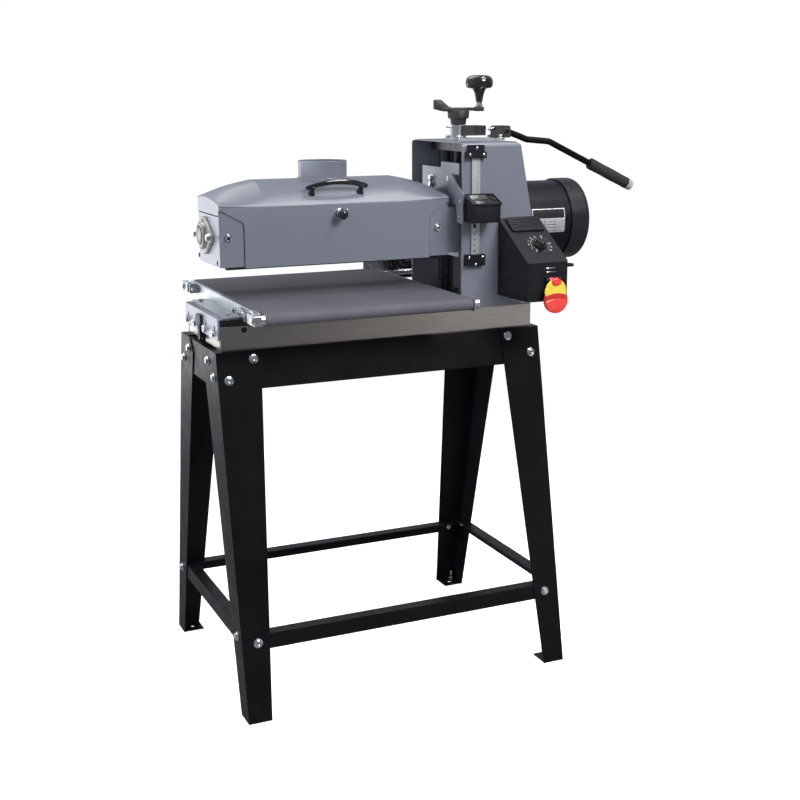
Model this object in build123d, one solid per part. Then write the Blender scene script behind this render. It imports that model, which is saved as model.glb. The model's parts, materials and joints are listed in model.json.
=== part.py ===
from build123d import *
import math
import os

# Open-end drum sander on a steel stand. Millimetres, +Z up, -Y is the infeed (front) side,
# +X runs along the drum towards the motor. The origin is on the floor, at the centre of the
# rectangle of the four foot anchor holes.

# ---------------------------------------------------------------- driving dimensions
STAND_WIDTH = 728.0          # outside width of the legs
STAND_HEIGHT = 730.0
STAND_TOP_DEPTH = 258.0
STAND_FOOT_DEPTH = 545.0
LEG_SHEET = 2.5
RAIL_SHEET = 2.0
RAIL_HEIGHT = 76.0
LEG_TOP_WIDTH = 94.0
LEG_FOOT_WIDTH = 49.0
ANCHOR_X = 338.0             # half spacing of the foot anchor holes along X
ANCHOR_Y = 245.0             # half spacing along Y
ANCHOR_R = 5.0
BOLT_R = 4.0
BOLT_HOLE_R = 4.2

BASE_LENGTH = 700.0
BASE_DEPTH = 240.0
BASE_TOP = 779.0
BASE_SHEET = 3.0

BELT_LEFT = -300.0
BELT_RIGHT = 136.0
BELT_TOP = 823.0
BELT_SHEET = 1.2
BELT_END_R = 12.0            # outside radius of the belt where it turns
ROLLER_Y = 248.0             # half distance between the conveyor rollers
ROLLER_R = 10.5
ROLLER_SHAFT_R = 6.0
ROLLER_Z = BELT_TOP - BELT_END_R

DRUM_Z = 948.0               # drum axis with the head where it stands
DRUM_R = 62.5
WRAP_SHEET = 1.0
DRUM_LEFT = -290.0
DRUM_RIGHT = 116.0
SHAFT_R = 12.5
HEAD_LEFT = -337.0
HEAD_RIGHT = 163.0
HEAD_FRONT = -95.0
HEAD_BACK = 95.0
COVER_BOTTOM = 889.0
COVER_EDGE = 1010.0          # height of the cover's front top edge
COVER_RIDGE = 1056.0
COVER_END_EDGE = 1015.0      # the same edge and ridge at the two curved-down ends
COVER_END_RIDGE = 1026.0
COVER_LEVEL = (-240.0, 66.0)  # the middle of the cover keeps one section between these
COVER_JOINT = 993.5          # the cover's end walls stand on the end plates here
COVER_SHEET = 2.0
END_PLATE = 12.0
PRESS_R = 15.0
PRESS_Y = 74.0
PRESS_Z = 899.5
PORT_R = 50.8                # four inch dust hose
PORT_X = -84.0
PORT_TOP = 1091.0
PORT_FOOT = 1056.5           # top of the bead where the collar meets the cover
HINGE_Y = 99.5
HINGE_Z = 936.0

COLUMN_LEFT = 178.0
COLUMN_DEPTH = 250.0
COLUMN_TOP = 1126.0
COLUMN_SHEET = 2.5
POST_X = 240.0
POST_Y = 72.0
POST_R = 17.5
CRANK_X = 231.0
SCREW_R = 8.0
RUN_FIT = 0.05               # radial clearance of shafts that turn or slide in bores

MOTOR_LEFT = 302.0
MOTOR_R = 86.0
FAN_COVER_R = 90.0
FAN_COVER_LEFT = 470.0
FAN_COVER_RIGHT = 519.0

BOX_LEFT = 265.0             # control housing
BOX_RIGHT = 361.0
BOX_FRONT = -253.0
BOX_BOTTOM = 806.0

LEVER_PIVOT = (343.0, 0.0, 1144.0)
LEVER_R = 7.0
GRIP_R = 13.2
GRIP_CAP_R = 12.6

os.makedirs("parts", exist_ok=True)


# ---------------------------------------------------------------- small helpers
def block(x0, x1, y0, y1, z0, z1):
    """Rectangular block between two corners."""
    solid = Box(x1 - x0, y1 - y0, z1 - z0)
    return Pos((x0 + x1) / 2, (y0 + y1) / 2, (z0 + z1) / 2) * solid


def rod_x(x0, x1, y, z, r):
    """Round bar along X."""
    return Pos((x0 + x1) / 2, y, z) * Rot(0, 90, 0) * Cylinder(r, x1 - x0)


def rod_y(y0, y1, x, z, r):
    """Round bar along Y."""
    return Pos(x, (y0 + y1) / 2, z) * Rot(90, 0, 0) * Cylinder(r, y1 - y0)


def rod_z(z0, z1, x, y, r):
    """Round bar along Z."""
    return Pos(x, y, (z0 + z1) / 2) * Cylinder(r, z1 - z0)


def prism_x(outline, x0, x1):
    """Outline of (y, z) points drawn out from x0 to x1."""
    plane = Plane(origin=(x0, 0, 0), x_dir=(0, 1, 0), z_dir=(1, 0, 0))
    return extrude(plane * make_face(Polyline(*outline, close=True)), x1 - x0)


def prism_y(outline, y0, y1):
    """Outline of (x, z) points drawn out from y0 to y1."""
    plane = Plane(origin=(0, y1, 0), x_dir=(1, 0, 0), z_dir=(0, -1, 0))
    return extrude(plane * make_face(Polyline(*outline, close=True)), y1 - y0)


def prism_z(outline, z0, z1):
    """Outline of (x, y) points drawn out from z0 to z1."""
    plane = Plane(origin=(0, 0, z0))
    return extrude(plane * make_face(Polyline(*outline, close=True)), z1 - z0)


def turned(profile, origin, axis):
    """Solid of revolution: (radius, height) points turned about an axis at origin."""
    helper = Plane(origin=origin, z_dir=axis)
    plane = Plane(origin=origin, x_dir=helper.x_dir, z_dir=-helper.y_dir)
    return revolve(plane * make_face(Polyline(*profile, close=True)), Axis(origin, axis), 360)


def hexagon(origin, axis, across, height):
    """Hexagonal prism that starts at origin and runs along axis."""
    plane = Plane(origin=origin, z_dir=axis)
    return extrude(plane * RegularPolygon(across / 2, 6, major_radius=False), height)


def mirrored(solid, x_side, y_side):
    """Copy of a front-left piece (both sides negative) moved to another corner."""
    if x_side > 0:
        solid = mirror(solid, about=Plane.YZ)
    if y_side > 0:
        solid = mirror(solid, about=Plane.XZ)
    return solid


def group(solids):
    return Compound(children=list(solids))


def write(name, shape):
    export_step(shape, os.path.join("parts", name + ".step"))


# ---------------------------------------------------------------- stand
HALF_WIDTH = STAND_WIDTH / 2


def leg_face(z):
    """Distance of the slanted outer face of the legs from the middle, at height z."""
    run = (STAND_FOOT_DEPTH - STAND_TOP_DEPTH) / 2
    return STAND_FOOT_DEPTH / 2 - run * z / STAND_HEIGHT


SLANT = math.atan2((STAND_FOOT_DEPTH - STAND_TOP_DEPTH) / 2, STAND_HEIGHT)
FACE_NORMAL = (0, -math.cos(SLANT), math.sin(SLANT))


def slab(inset, sheet, z0, z1, x0, x1):
    """Slanted sheet inside the front face, inset from it along Y."""
    outline = [(-leg_face(z0) + inset, z0), (-leg_face(z1) + inset, z1),
               (-leg_face(z1) + inset + sheet, z1), (-leg_face(z0) + inset + sheet, z0)]
    return prism_x(outline, x0, x1)


def face_point(x, z):
    return (x, -leg_face(z), z)


# bolt places of the front-left corner: (x, z) on the slanted face, (y, z) on the side face
FACE_BOLTS = [(-HALF_WIDTH + 76.5, 714.0), (-HALF_WIDTH + 22.5, 675.0), (-330.5, 157.5)]
SIDE_BOLTS = [(-leg_face(705.5) + 62.0, 705.5), (-leg_face(678.0) + 27.0, 678.0), (-211.5, 167.0)]


def face_hole(x, z):
    plane = Plane(origin=face_point(x, z), z_dir=FACE_NORMAL)
    return extrude(plane * Circle(BOLT_HOLE_R), 12, both=True)


def side_hole(y, z):
    return rod_x(-HALF_WIDTH - 6, -HALF_WIDTH + 12, y, z, BOLT_HOLE_R)


def drilled(solid, x_side=-1, y_side=-1):
    """Front-left stand piece with every bolt hole of its corner."""
    for x, z in FACE_BOLTS:
        solid -= mirrored(face_hole(x, z), x_side, y_side)
    for y, z in SIDE_BOLTS:
        solid -= mirrored(side_hole(y, z), x_side, y_side)
    return solid


def leg():
    top = LEG_TOP_WIDTH
    foot = LEG_FOOT_WIDTH
    face = slab(0, LEG_SHEET, 0, STAND_HEIGHT, -HALF_WIDTH, -HALF_WIDTH + top)
    taper = [(-HALF_WIDTH, 0), (-HALF_WIDTH + foot, 0),
             (-HALF_WIDTH + top, STAND_HEIGHT), (-HALF_WIDTH, STAND_HEIGHT)]
    face &= prism_y(taper, -400, 0)
    front_top = -leg_face(STAND_HEIGHT)
    side = prism_x([(-leg_face(0), 0), (-leg_face(0) + 50, 0),
                    (-leg_face(700) + 94, 700), (front_top + 66, STAND_HEIGHT),
                    (front_top, STAND_HEIGHT)], -HALF_WIDTH, -HALF_WIDTH + LEG_SHEET)
    tab = block(-HALF_WIDTH, -HALF_WIDTH + foot - 2, -leg_face(0) + 1, -leg_face(0) + 49, 0, LEG_SHEET)
    tab -= rod_z(-1, 5, -ANCHOR_X, -ANCHOR_Y, ANCHOR_R)
    return face + side + tab


def rail_front():
    reach = HALF_WIDTH - LEG_SHEET - 0.3
    low = STAND_HEIGHT - RAIL_HEIGHT
    web = slab(LEG_SHEET, RAIL_SHEET, low, STAND_HEIGHT, -reach, reach)
    front = -leg_face(STAND_HEIGHT) + LEG_SHEET
    flange = block(-reach, reach, front, front + 42, STAND_HEIGHT - RAIL_SHEET, STAND_HEIGHT)
    rail = web + flange
    for side in (-1, 1):
        rail = drilled(rail, side, -1)
        rail -= rod_z(720, 740, side * 300, -105, BOLT_HOLE_R)
    return rail


def rail_left():
    inset = LEG_SHEET + RAIL_SHEET + 0.3
    low = STAND_HEIGHT - RAIL_HEIGHT
    high = STAND_HEIGHT - RAIL_SHEET
    ends = [(-leg_face(low) + inset, low), (leg_face(low) - inset, low),
            (leg_face(high) - inset, high), (-leg_face(high) + inset, high)]
    wall = -HALF_WIDTH + LEG_SHEET
    rail = prism_x(ends, wall, wall + RAIL_SHEET)
    rail += block(wall, wall + 34, -80, 80, high - RAIL_SHEET, high)
    for side in (-1, 1):
        rail = drilled(rail, -1, side)
    return rail


def stretcher_front():
    reach = HALF_WIDTH - LEG_SHEET - RAIL_SHEET - 0.3
    web = slab(LEG_SHEET, RAIL_SHEET, 142, 172, -reach, reach)
    front = -leg_face(172) + LEG_SHEET
    bar = web + block(16 - reach, reach - 16, front, front + 26, 172 - RAIL_SHEET, 172)
    for side in (-1, 1):
        bar = drilled(bar, side, -1)
    return bar


def stretcher_left():
    inset = LEG_SHEET + RAIL_SHEET + 0.3
    ends = [(-leg_face(152) + inset, 152), (leg_face(152) - inset, 152),
            (leg_face(182) - inset, 182), (-leg_face(182) + inset, 182)]
    wall = -HALF_WIDTH + LEG_SHEET
    bar = prism_x(ends, wall, wall + RAIL_SHEET)
    reach = leg_face(182) - 34
    bar += block(wall, wall + 26, -reach, reach, 182 - RAIL_SHEET, 182)
    for side in (-1, 1):
        bar = drilled(bar, -1, side)
    return bar


def stand_bolt(point, normal, grip):
    """Flanged hex bolt with its nut; point is on the outer face, normal points outwards."""
    direction = Vector(*normal).normalized()
    start = Vector(*point)
    inside = start - direction * (grip + 10)
    bolt = extrude(Plane(origin=inside, z_dir=direction) * Circle(BOLT_R), grip + 10)
    bolt += extrude(Plane(origin=start, z_dir=direction) * Circle(9.5), 1.5)
    bolt += hexagon(start, direction, 13, 6)
    bolt += hexagon(start - direction * (grip + 6.5), direction, 13, 6.5)
    return bolt


def stand_bolts():
    bolts = []
    face_grip = (LEG_SHEET + RAIL_SHEET) * math.cos(SLANT)
    for x_side in (-1, 1):
        for y_side in (-1, 1):
            for x, z in FACE_BOLTS:
                bolt = stand_bolt(face_point(x, z), FACE_NORMAL, face_grip)
                bolts.append(mirrored(bolt, x_side, y_side))
            for y, z in SIDE_BOLTS:
                bolt = stand_bolt((-HALF_WIDTH, y, z), (-1, 0, 0), LEG_SHEET + RAIL_SHEET)
                bolts.append(mirrored(bolt, x_side, y_side))
            # base channel bolted down through its lips and the rails
            bolts.append(stand_bolt((x_side * 300, y_side * 105, STAND_HEIGHT + BASE_SHEET),
                                    (0, 0, 1), BASE_SHEET + RAIL_SHEET))
    # levelling stud left standing on one rear foot
    stud = rod_z(LEG_SHEET, 26, 351, 259, 4)
    stud += hexagon((351, 259, LEG_SHEET), (0, 0, 1), 13, 6)
    bolts.append(stud)
    return group(bolts)


# ---------------------------------------------------------------- base and conveyor
BRACKET_SCREW_Y = (-97, -38, 38, 97)
BRACKET_FACE = -355.0
OUT_WEB = BELT_LEFT - 9.0        # outer face of the outboard rail
IN_WEB = BELT_RIGHT + 2.5        # inner face of the inboard rail


def base_channel():
    half = BASE_LENGTH / 2
    deep = BASE_DEPTH / 2
    low = STAND_HEIGHT
    base = block(-half, half, -deep, deep, low, BASE_TOP)
    base -= block(-half - 1, half + 1, -deep + BASE_SHEET, deep - BASE_SHEET,
                  low + BASE_SHEET, BASE_TOP - BASE_SHEET)
    base -= block(-half - 1, half + 1, -deep + 34, deep - 34, low - 1, low + BASE_SHEET + 1)
    tab = block(-half, -half + BASE_SHEET, -112, 112, low + BASE_SHEET, BASE_TOP)
    tab -= block(-half - 1, -half + 5, -12, 12, low, 762)
    base += tab
    base -= rod_y(-130, -110, -301, 771, 4)
    for side in (-1, 1):
        for y in (-105, 105):
            base -= rod_z(low - 1, low + 8, side * 300, y, BOLT_HOLE_R)
    for y in BRACKET_SCREW_Y:
        base -= rod_x(-half - 1, -half + 5, y, 765, 4.1)
    for y in (-95, 95):
        base -= rod_z(BASE_TOP - 5, BASE_TOP + 1, IN_WEB + 18, y, 3.2)
    return base


def outboard_bracket():
    inner = BRACKET_FACE + 4
    bracket = block(BRACKET_FACE, inner, -120, 120, 752, 796)
    bracket += block(BRACKET_FACE, -312, -120, 120, 793, 796)
    bracket -= block(BRACKET_FACE - 1, inner + 1, -11, 11, 751, 781)
    for y in BRACKET_SCREW_Y:
        slot = rod_x(BRACKET_FACE - 1, inner + 1, y, 765, 4.2)
        slot += rod_x(BRACKET_FACE - 1, inner + 1, y, 775, 4.2)
        slot += block(BRACKET_FACE - 1, inner + 1, y - 4.2, y + 4.2, 765, 775)
        bracket -= slot
    for y in (-95, 95):
        bracket -= rod_z(790, 800, -328, y, 3.2)
    return bracket


def socket_screw(point, normal, head_r, head_h, shank_r, length):
    """Socket-head screw; point is under the head and normal points out of the work."""
    direction = Vector(*normal).normalized()
    start = Vector(*point)
    screw = extrude(Plane(origin=start, z_dir=direction) * Circle(head_r), head_h)
    screw += extrude(Plane(origin=start - direction * length, z_dir=direction) * Circle(shank_r), length)
    screw -= hexagon(start + direction * (head_h * 0.45), direction, head_r * 0.95, head_h)
    return screw


def height_key():
    """Black flat key behind the slot that sets the height of the outboard bracket."""
    key = block(-356.5, -353.5, -10.6, 10.6, 740, 780.6)
    key += block(-361, -356.5, -15, 15, 768, 788)
    key += block(-361, -356.5, -8, 8, 736, 768)
    return key


def conveyor_bed():
    left = BELT_LEFT - 6.5
    right = BELT_RIGHT + 2.5
    bed = block(left, right, -232, 232, 801.8, 821.3)
    bed -= block(left + 2.5, right - 2.5, -229.5, 229.5, 800, 818.8)
    return bed


def conveyor_rail_outboard():
    rail = block(OUT_WEB, OUT_WEB + 2.5, -236, 236, 797, 822)
    rail += block(OUT_WEB - 33, OUT_WEB + 2.5, -125, 125, 796, 798.5)
    for side in (-1, 1):
        rail += block(OUT_WEB - 15, OUT_WEB, side * 197 - 1.5, side * 197 + 1.5, 801, 821)
        rail -= rod_y(side * 197 - 3, side * 197 + 3, OUT_WEB - 8, 811, 3.2)
        rail -= rod_z(790, 800, -328, side * 95, 3.2)
    return rail


def conveyor_rail_inboard():
    """Inboard rail with the bracket that carries the gearmotor behind the outfeed end."""
    web = block(IN_WEB, IN_WEB + 2.5, -262, 286, 797, 822)
    web += block(IN_WEB, IN_WEB + 2.5, -118, 118, BASE_TOP, 800)
    web += block(IN_WEB, IN_WEB + 30, -118, 118, BASE_TOP, BASE_TOP + 2.5)
    panel = block(124, 252, 284, 286, 790, 862)
    arm = block(250, 252, 206, 286, 790, 862)
    rail = web + panel + arm
    for side in (-1, 1):
        rail -= rod_x(IN_WEB - 1, IN_WEB + 5, side * ROLLER_Y, ROLLER_Z, ROLLER_SHAFT_R + RUN_FIT)
        rail -= rod_z(BASE_TOP - 1, BASE_TOP + 5, IN_WEB + 18, side * 95, 3.2)
    rail -= rod_x(248, 254, ROLLER_Y, ROLLER_Z, 10)
    return rail


def take_up_block(side):
    piece = block(OUT_WEB - 15, OUT_WEB - 0.3, side * 238.5 - 23.5, side * 238.5 + 23.5, 801, 821)
    piece -= rod_x(OUT_WEB - 20, OUT_WEB + 1, side * ROLLER_Y, ROLLER_Z, ROLLER_SHAFT_R + RUN_FIT)
    near = side * 215
    piece -= rod_y(min(near, near + side * 22), max(near, near + side * 22), OUT_WEB - 8, 811, 3.0)
    return fillet(piece.edges().filter_by(Axis.X), 2)


def take_up_screw(side):
    x = OUT_WEB - 8
    tip = side * 235
    head = side * 188
    screw = rod_y(min(tip, head), max(tip, head), x, 811, 3.0)
    screw += hexagon((x, side * 188, 811), (0, -side, 0), 10, 5)
    screw += hexagon((x, side * 200.5, 811), (0, side, 0), 10, 5)
    screw += hexagon((x, side * 190.5, 811), (0, side, 0), 10, 4.5)
    return screw


def conveyor_screws():
    """Socket screws of the outboard bracket, rail bolts with nuts and the take-up screws."""
    screws = []
    for y in BRACKET_SCREW_Y:
        screws.append(socket_screw((BRACKET_FACE, y, 765), (-1, 0, 0), 7, 7.5, 4, 12))
    for side in (-1, 1):
        bolt = rod_z(787, 803, -328, side * 95, 3)
        bolt += hexagon((-328, side * 95, 798.5), (0, 0, 1), 10, 5)
        bolt += hexagon((-328, side * 95, 793), (0, 0, -1), 10, 4.5)
        screws.append(bolt)
        foot = rod_z(BASE_TOP - BASE_SHEET, BASE_TOP + 7, IN_WEB + 18, side * 95, 3)
        foot += hexagon((IN_WEB + 18, side * 95, BASE_TOP + 2.5), (0, 0, 1), 10, 4.5)
        screws.append(foot)
        screws.append(take_up_screw(side))
    return group(screws)


def racetrack(radius):
    """Closed (y, z) loop round both rollers at the given radius."""
    plane = Plane(origin=(BELT_LEFT, 0, ROLLER_Z), x_dir=(0, 1, 0), z_dir=(1, 0, 0))
    return extrude(plane * SlotCenterToCenter(2 * ROLLER_Y, 2 * radius), BELT_RIGHT - BELT_LEFT)


def conveyor_belt():
    return racetrack(BELT_END_R) - racetrack(BELT_END_R - BELT_SHEET)


def conveyor_roller(side, right_end):
    y = side * ROLLER_Y
    roller = rod_x(BELT_LEFT - 0.3, BELT_RIGHT + 0.4, y, ROLLER_Z, ROLLER_R)
    roller += rod_x(OUT_WEB - 0.2, BELT_LEFT, y, ROLLER_Z, ROLLER_R - 0.8)
    roller += rod_x(OUT_WEB - 19, right_end, y, ROLLER_Z, ROLLER_SHAFT_R)
    return roller


def gearmotor():
    box = block(252, 306, 212, 282, 784, 852)
    box = fillet(box.edges().filter_by(Axis.X), 8)
    body = rod_x(306, 392, 247, 818, 31)
    body += rod_x(392, 398, 247, 818, 26)
    motor = box + body
    motor -= rod_x(250, 292, ROLLER_Y, ROLLER_Z, ROLLER_SHAFT_R + RUN_FIT)
    return motor


LEAD_R = 4.5
LEAD_ROWS = 4
LEAD_PITCH = 10.5


def lead_x(row):
    """Where a gearmotor lead turns upwards."""
    return 190 + row * LEAD_PITCH


def gearmotor_leads():
    """Leads held side by side from the gearmotor bracket up and into the column's rear wall."""
    leads = []
    for row in range(LEAD_ROWS):
        x = lead_x(row)
        low = 799 + row * LEAD_PITCH
        route = [(249.9, 270, low), (x, 270, low), (x - 14, 270, 872),
                 (x + 12, 215, 905), (x + 12, COLUMN_DEPTH / 2 + 0.1, 905)]
        path = FilletPolyline(*route, radius=[13, 20, 25])
        start = Plane(origin=path @ 0, z_dir=path % 0)
        leads.append(sweep(start * Circle(LEAD_R), path=path))
    return group(leads)


# ---------------------------------------------------------------- column
def column_cover():
    """Folded cover, open towards the drum and towards the motor, with a sloping right edge."""
    deep = COLUMN_DEPTH / 2
    t = COLUMN_SHEET
    outline = [(COLUMN_LEFT, BASE_TOP), (COLUMN_LEFT, COLUMN_TOP - 4), (COLUMN_LEFT + 8, COLUMN_TOP),
               (308, COLUMN_TOP), (316, COLUMN_TOP - 6), (346, 968), (346, BASE_TOP)]
    shell = prism_y(outline, -deep, deep)
    shell = fillet(shell.edges().filter_by(Axis.X).group_by(Axis.Z)[-1], 10)
    inner_outline = [(COLUMN_LEFT - 1, BASE_TOP - 1), (COLUMN_LEFT - 1, COLUMN_TOP - t),
                     (350, COLUMN_TOP - t), (350, BASE_TOP - 1)]
    inner = prism_y(inner_outline, -deep + t, deep - t)
    inner = fillet(inner.edges().filter_by(Axis.X).group_by(Axis.Z)[-1], 7.5)
    shell -= inner
    shell -= rod_z(COLUMN_TOP - 6, COLUMN_TOP + 2, CRANK_X, 0, 20)
    return shell


def guide_posts():
    posts = []
    for side in (-1, 1):
        post = rod_z(BASE_TOP, 1116, POST_X, side * POST_Y, POST_R)
        post += rod_z(BASE_TOP, BASE_TOP + 12, POST_X, side * POST_Y, 32)
        posts.append(post)
    tie = block(POST_X - 26, POST_X + 26, -POST_Y - 26, POST_Y + 26, 1104, COLUMN_TOP - COLUMN_SHEET)
    tie -= rod_z(1100, 1130, CRANK_X, 0, SCREW_R + RUN_FIT)
    return posts[0] + posts[1] + tie


def top_bearing_plate():
    """Zinc plate on the column with the sleeve that the lead screw turns in."""
    plate = block(208, 330, -34, 34, COLUMN_TOP, COLUMN_TOP + 4)
    plate = fillet(plate.edges().filter_by(Axis.Z), 8)
    plate += rod_z(COLUMN_TOP, 1158.5, CRANK_X, 0, 17)
    plate -= rod_z(COLUMN_TOP - 2, 1162, CRANK_X, 0, SCREW_R + RUN_FIT)
    return plate


def lead_screw():
    return rod_z(982, 1168, CRANK_X, 0, SCREW_R)


def crank():
    """Cast crank: stepped hub, arm to the knob and a fin on the far side."""
    hub = turned([(0, 1159.2), (16, 1159.2), (18, 1172), (22.5, 1173), (23.5, 1188), (0, 1192)],
                 (CRANK_X, 0, 0), (0, 0, 1))
    arm = prism_z([(188, -9), (CRANK_X, -14), (291, -8), (293, 0), (291, 8), (CRANK_X, 14), (188, 9)],
                  1188, 1195)
    fin = prism_y([(173, 1192), (173, 1210), (176, 1212), (187, 1212), (206, 1197), (214, 1195),
                   (214, 1186), (196, 1187)], -6, 6)
    boss = rod_z(1187, 1197, 281, 0, 10.5)
    crank_body = hub + arm + fin + boss
    crank_body -= rod_z(1150, 1169, CRANK_X, 0, SCREW_R)
    crank_body -= rod_z(1180, 1200, 281, 0, 4)
    return crank_body


def crank_knob():
    """Mushroom knob that turns freely on its spindle."""
    profile = Polyline((0, 1188.5), (3.95, 1188.5), (3.95, 1197.6), (5.5, 1197.6), (5.5, 1207),
                       (7.2, 1207), (10, 1222), (14, 1235.6), (23, 1236.2))
    cap = Spline((23, 1236.2), (29.8, 1249), (20, 1261.6), (0, 1263),
                 tangents=[(1, 0.3), (-1, 0)])
    close = Line((0, 1263), (0, 1188.5))
    plane = Plane(origin=(281, 0, 0), x_dir=(1, 0, 0), z_dir=(0, -1, 0))
    face = plane * make_face([profile, cap, close])
    return revolve(face, Axis((281, 0, 0), (0, 0, 1)), 360)


def lock_clamp():
    """Split clamp that grips the sleeve, with ribs on its long jaws."""
    clamp = block(229, 288, -23, 23, COLUMN_TOP + 10, COLUMN_TOP + 31)
    clamp = fillet(clamp.edges().filter_by(Axis.Z), 5)
    clamp -= rod_z(1130, 1160, CRANK_X, 0, 17)
    clamp -= block(245, 279, -1.5, 1.5, 1130, 1160)
    for x in (262, 269, 276, 283):
        for side in (-1, 1):
            clamp -= block(x - 1.2, x + 1.2, side * 23 - 2, side * 23 + 2, 1139, 1155)
    clamp -= rod_x(270, 290, 0, 1149, 3.0)
    return clamp


def lock_link():
    """Tie rod with the clevis that the lever turns in, standing on the top plate."""
    link = block(317, 352, -14, 14, COLUMN_TOP + 4, 1156)
    link = fillet(link.edges().filter_by(Axis.Y).group_by(Axis.Z)[-1], 5)
    link -= block(325, 353, -7.3, 7.3, COLUMN_TOP + 6, 1160)
    link += rod_x(279, 320, 0, 1149, 3.0)
    link -= rod_y(-15, 15, LEVER_PIVOT[0], LEVER_PIVOT[2], 4 + RUN_FIT)
    return link


def lock_lever():
    """Bent tube lever with a cam eye and its pivot pin."""
    px = LEVER_PIVOT[0]
    pz = LEVER_PIVOT[2]
    route = [(px + 4, 0, pz), (378, 0, 1133.5), (400, 0, 1125), (458, 0, 1119.5), (668, 0, 1021)]
    path = FilletPolyline(*route, radius=[18, 22, 30])
    start = Plane(origin=path @ 0, z_dir=path % 0)
    tube = sweep(start * Circle(LEVER_R), path=path)
    eye = rod_y(-7, 7, px, pz, 9.5)
    pin = rod_y(-16.5, 16.5, px, pz, 4)
    return tube + eye + pin


def along_grip(u):
    """Point (x, 0, z) on the grip axis; u is 0 at its start and 1 at its end."""
    x = 566.0 + u * 102.0
    slope = (1021.0 - 1119.5) / (668.0 - 458.0)
    return (x, 0, 1119.5 + slope * (x - 458.0))


def lever_grip():
    axis = Vector(*along_grip(1)) - Vector(*along_grip(0))
    grip = extrude(Plane(origin=along_grip(0), z_dir=axis) * Circle(GRIP_R), axis.length)
    return grip - extrude(Plane(origin=along_grip(-0.1), z_dir=axis) * Circle(LEVER_R), axis.length * 1.3)


def lever_cap():
    axis = Vector(*along_grip(1)) - Vector(*along_grip(0))
    return extrude(Plane(origin=along_grip(1), z_dir=axis) * Circle(GRIP_CAP_R), 15)


def depth_scale():
    return block(198.5, 217.5, -129.6, -127.6, 876, 1112)


def scale_brackets():
    """Upper and lower plastic brackets that hold the scale on the column, with their screws."""
    pieces = []
    front = -COLUMN_DEPTH / 2
    upper = block(184, 228, front - 12, front, 1094, 1121)
    for x in (183, 223):
        upper -= block(x, x + 6, front - 13, front + 1, 1107, 1122)
    lower = block(184, 228, front - 12, front, 871, 895)
    for piece, low, high in ((upper, 1093, 1112.2), (lower, 875.8, 896)):
        pieces.append(piece - block(198.3, 217.7, -129.8, front + 1, low, high))
    return group(pieces)


# ---------------------------------------------------------------- head
def plan_chamfer(x0, x1, z0, z1):
    """Block of the head's plan shape, with its rear outboard corner cut off."""
    outline = [(x0, HEAD_FRONT), (x1, HEAD_FRONT), (x1, HEAD_BACK), (x0 + 13, HEAD_BACK),
               (x0, 52)]
    return prism_z(outline, z0, z1)


def head_carriage():
    """Casting that slides on the posts and carries the head frame and the motor."""
    left = block(188, 200, -90, 90, 885, 1070)
    left += block(188, 200, -90, -4, 1070, 1082)
    right = block(290, 302, -90, 90, 862, 1058)
    bridge = block(188, 302, -28, 28, 1036, 1058)
    body = left + right + bridge
    for side in (-1, 1):
        y = side * POST_Y
        body += rod_z(890, 1050, POST_X, y, 27)
        body += block(199, 291, y - 8, y + 8, 890, 1050)
    for side in (-1, 1):
        body -= rod_z(850, 1100, POST_X, side * POST_Y, POST_R + RUN_FIT)
    body -= rod_z(1030, 1062, CRANK_X, 0, SCREW_R + RUN_FIT)
    body -= rod_x(180, 310, 0, DRUM_Z, 26)
    for y in (-45, 45):
        for z in (915, 985):
            body -= rod_x(186, 202, y, z, 5.2)
    return body


def head_frame():
    """Inboard end plate of the head, the arms to the carriage and the beam behind the drum."""
    right = HEAD_RIGHT - COVER_SHEET - 0.4
    left = right - END_PLATE
    plate = block(left, right, HEAD_FRONT + 2.4, 90, 892, COVER_JOINT - 2)
    flange = prism_y([(119.5, 892), (right, 892), (right, 1001), (155, 1001), (122, 982), (119.5, 974)],
                     HEAD_FRONT + 2.4, HEAD_FRONT + 5.2)
    top = COVER_JOINT - 2
    arms = block(left, 188, -90, -64, 896, top) + block(left, 188, 64, 90, 896, top)
    beam = block(HEAD_LEFT + END_PLATE + 0.2, right, 79, 91, 918, 986)
    frame = plate + flange + arms + beam
    frame -= rod_x(left - 1, 190, 0, DRUM_Z, 24)
    for side in (-1, 1):
        frame -= rod_x(left - 1, right + 1, side * PRESS_Y, PRESS_Z, 5 + RUN_FIT)
    return frame


def outboard_bracket_plate():
    plate = plan_chamfer(HEAD_LEFT, HEAD_LEFT + END_PLATE, 892, COVER_JOINT - 2)
    plate -= block(HEAD_LEFT - 1, HEAD_LEFT + 20, HEAD_FRONT - 1, HEAD_FRONT + 2.4, 880, 1010)
    plate -= block(HEAD_LEFT - 1, HEAD_LEFT + 20, 91, 100, 880, 1010)
    flange = prism_y([(HEAD_LEFT, 892), (-287.5, 892), (-287.5, 974), (-291, 982),
                      (-330, 1001), (HEAD_LEFT, 1001)], HEAD_FRONT + 2.4, HEAD_FRONT + 5.2)
    bracket = plate + flange
    bracket -= rod_x(HEAD_LEFT - 1, HEAD_LEFT + 20, 0, DRUM_Z, 24)
    for side in (-1, 1):
        bracket -= rod_x(HEAD_LEFT - 1, HEAD_LEFT + 20, side * PRESS_Y, PRESS_Z, 5 + RUN_FIT)
    return bracket


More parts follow.
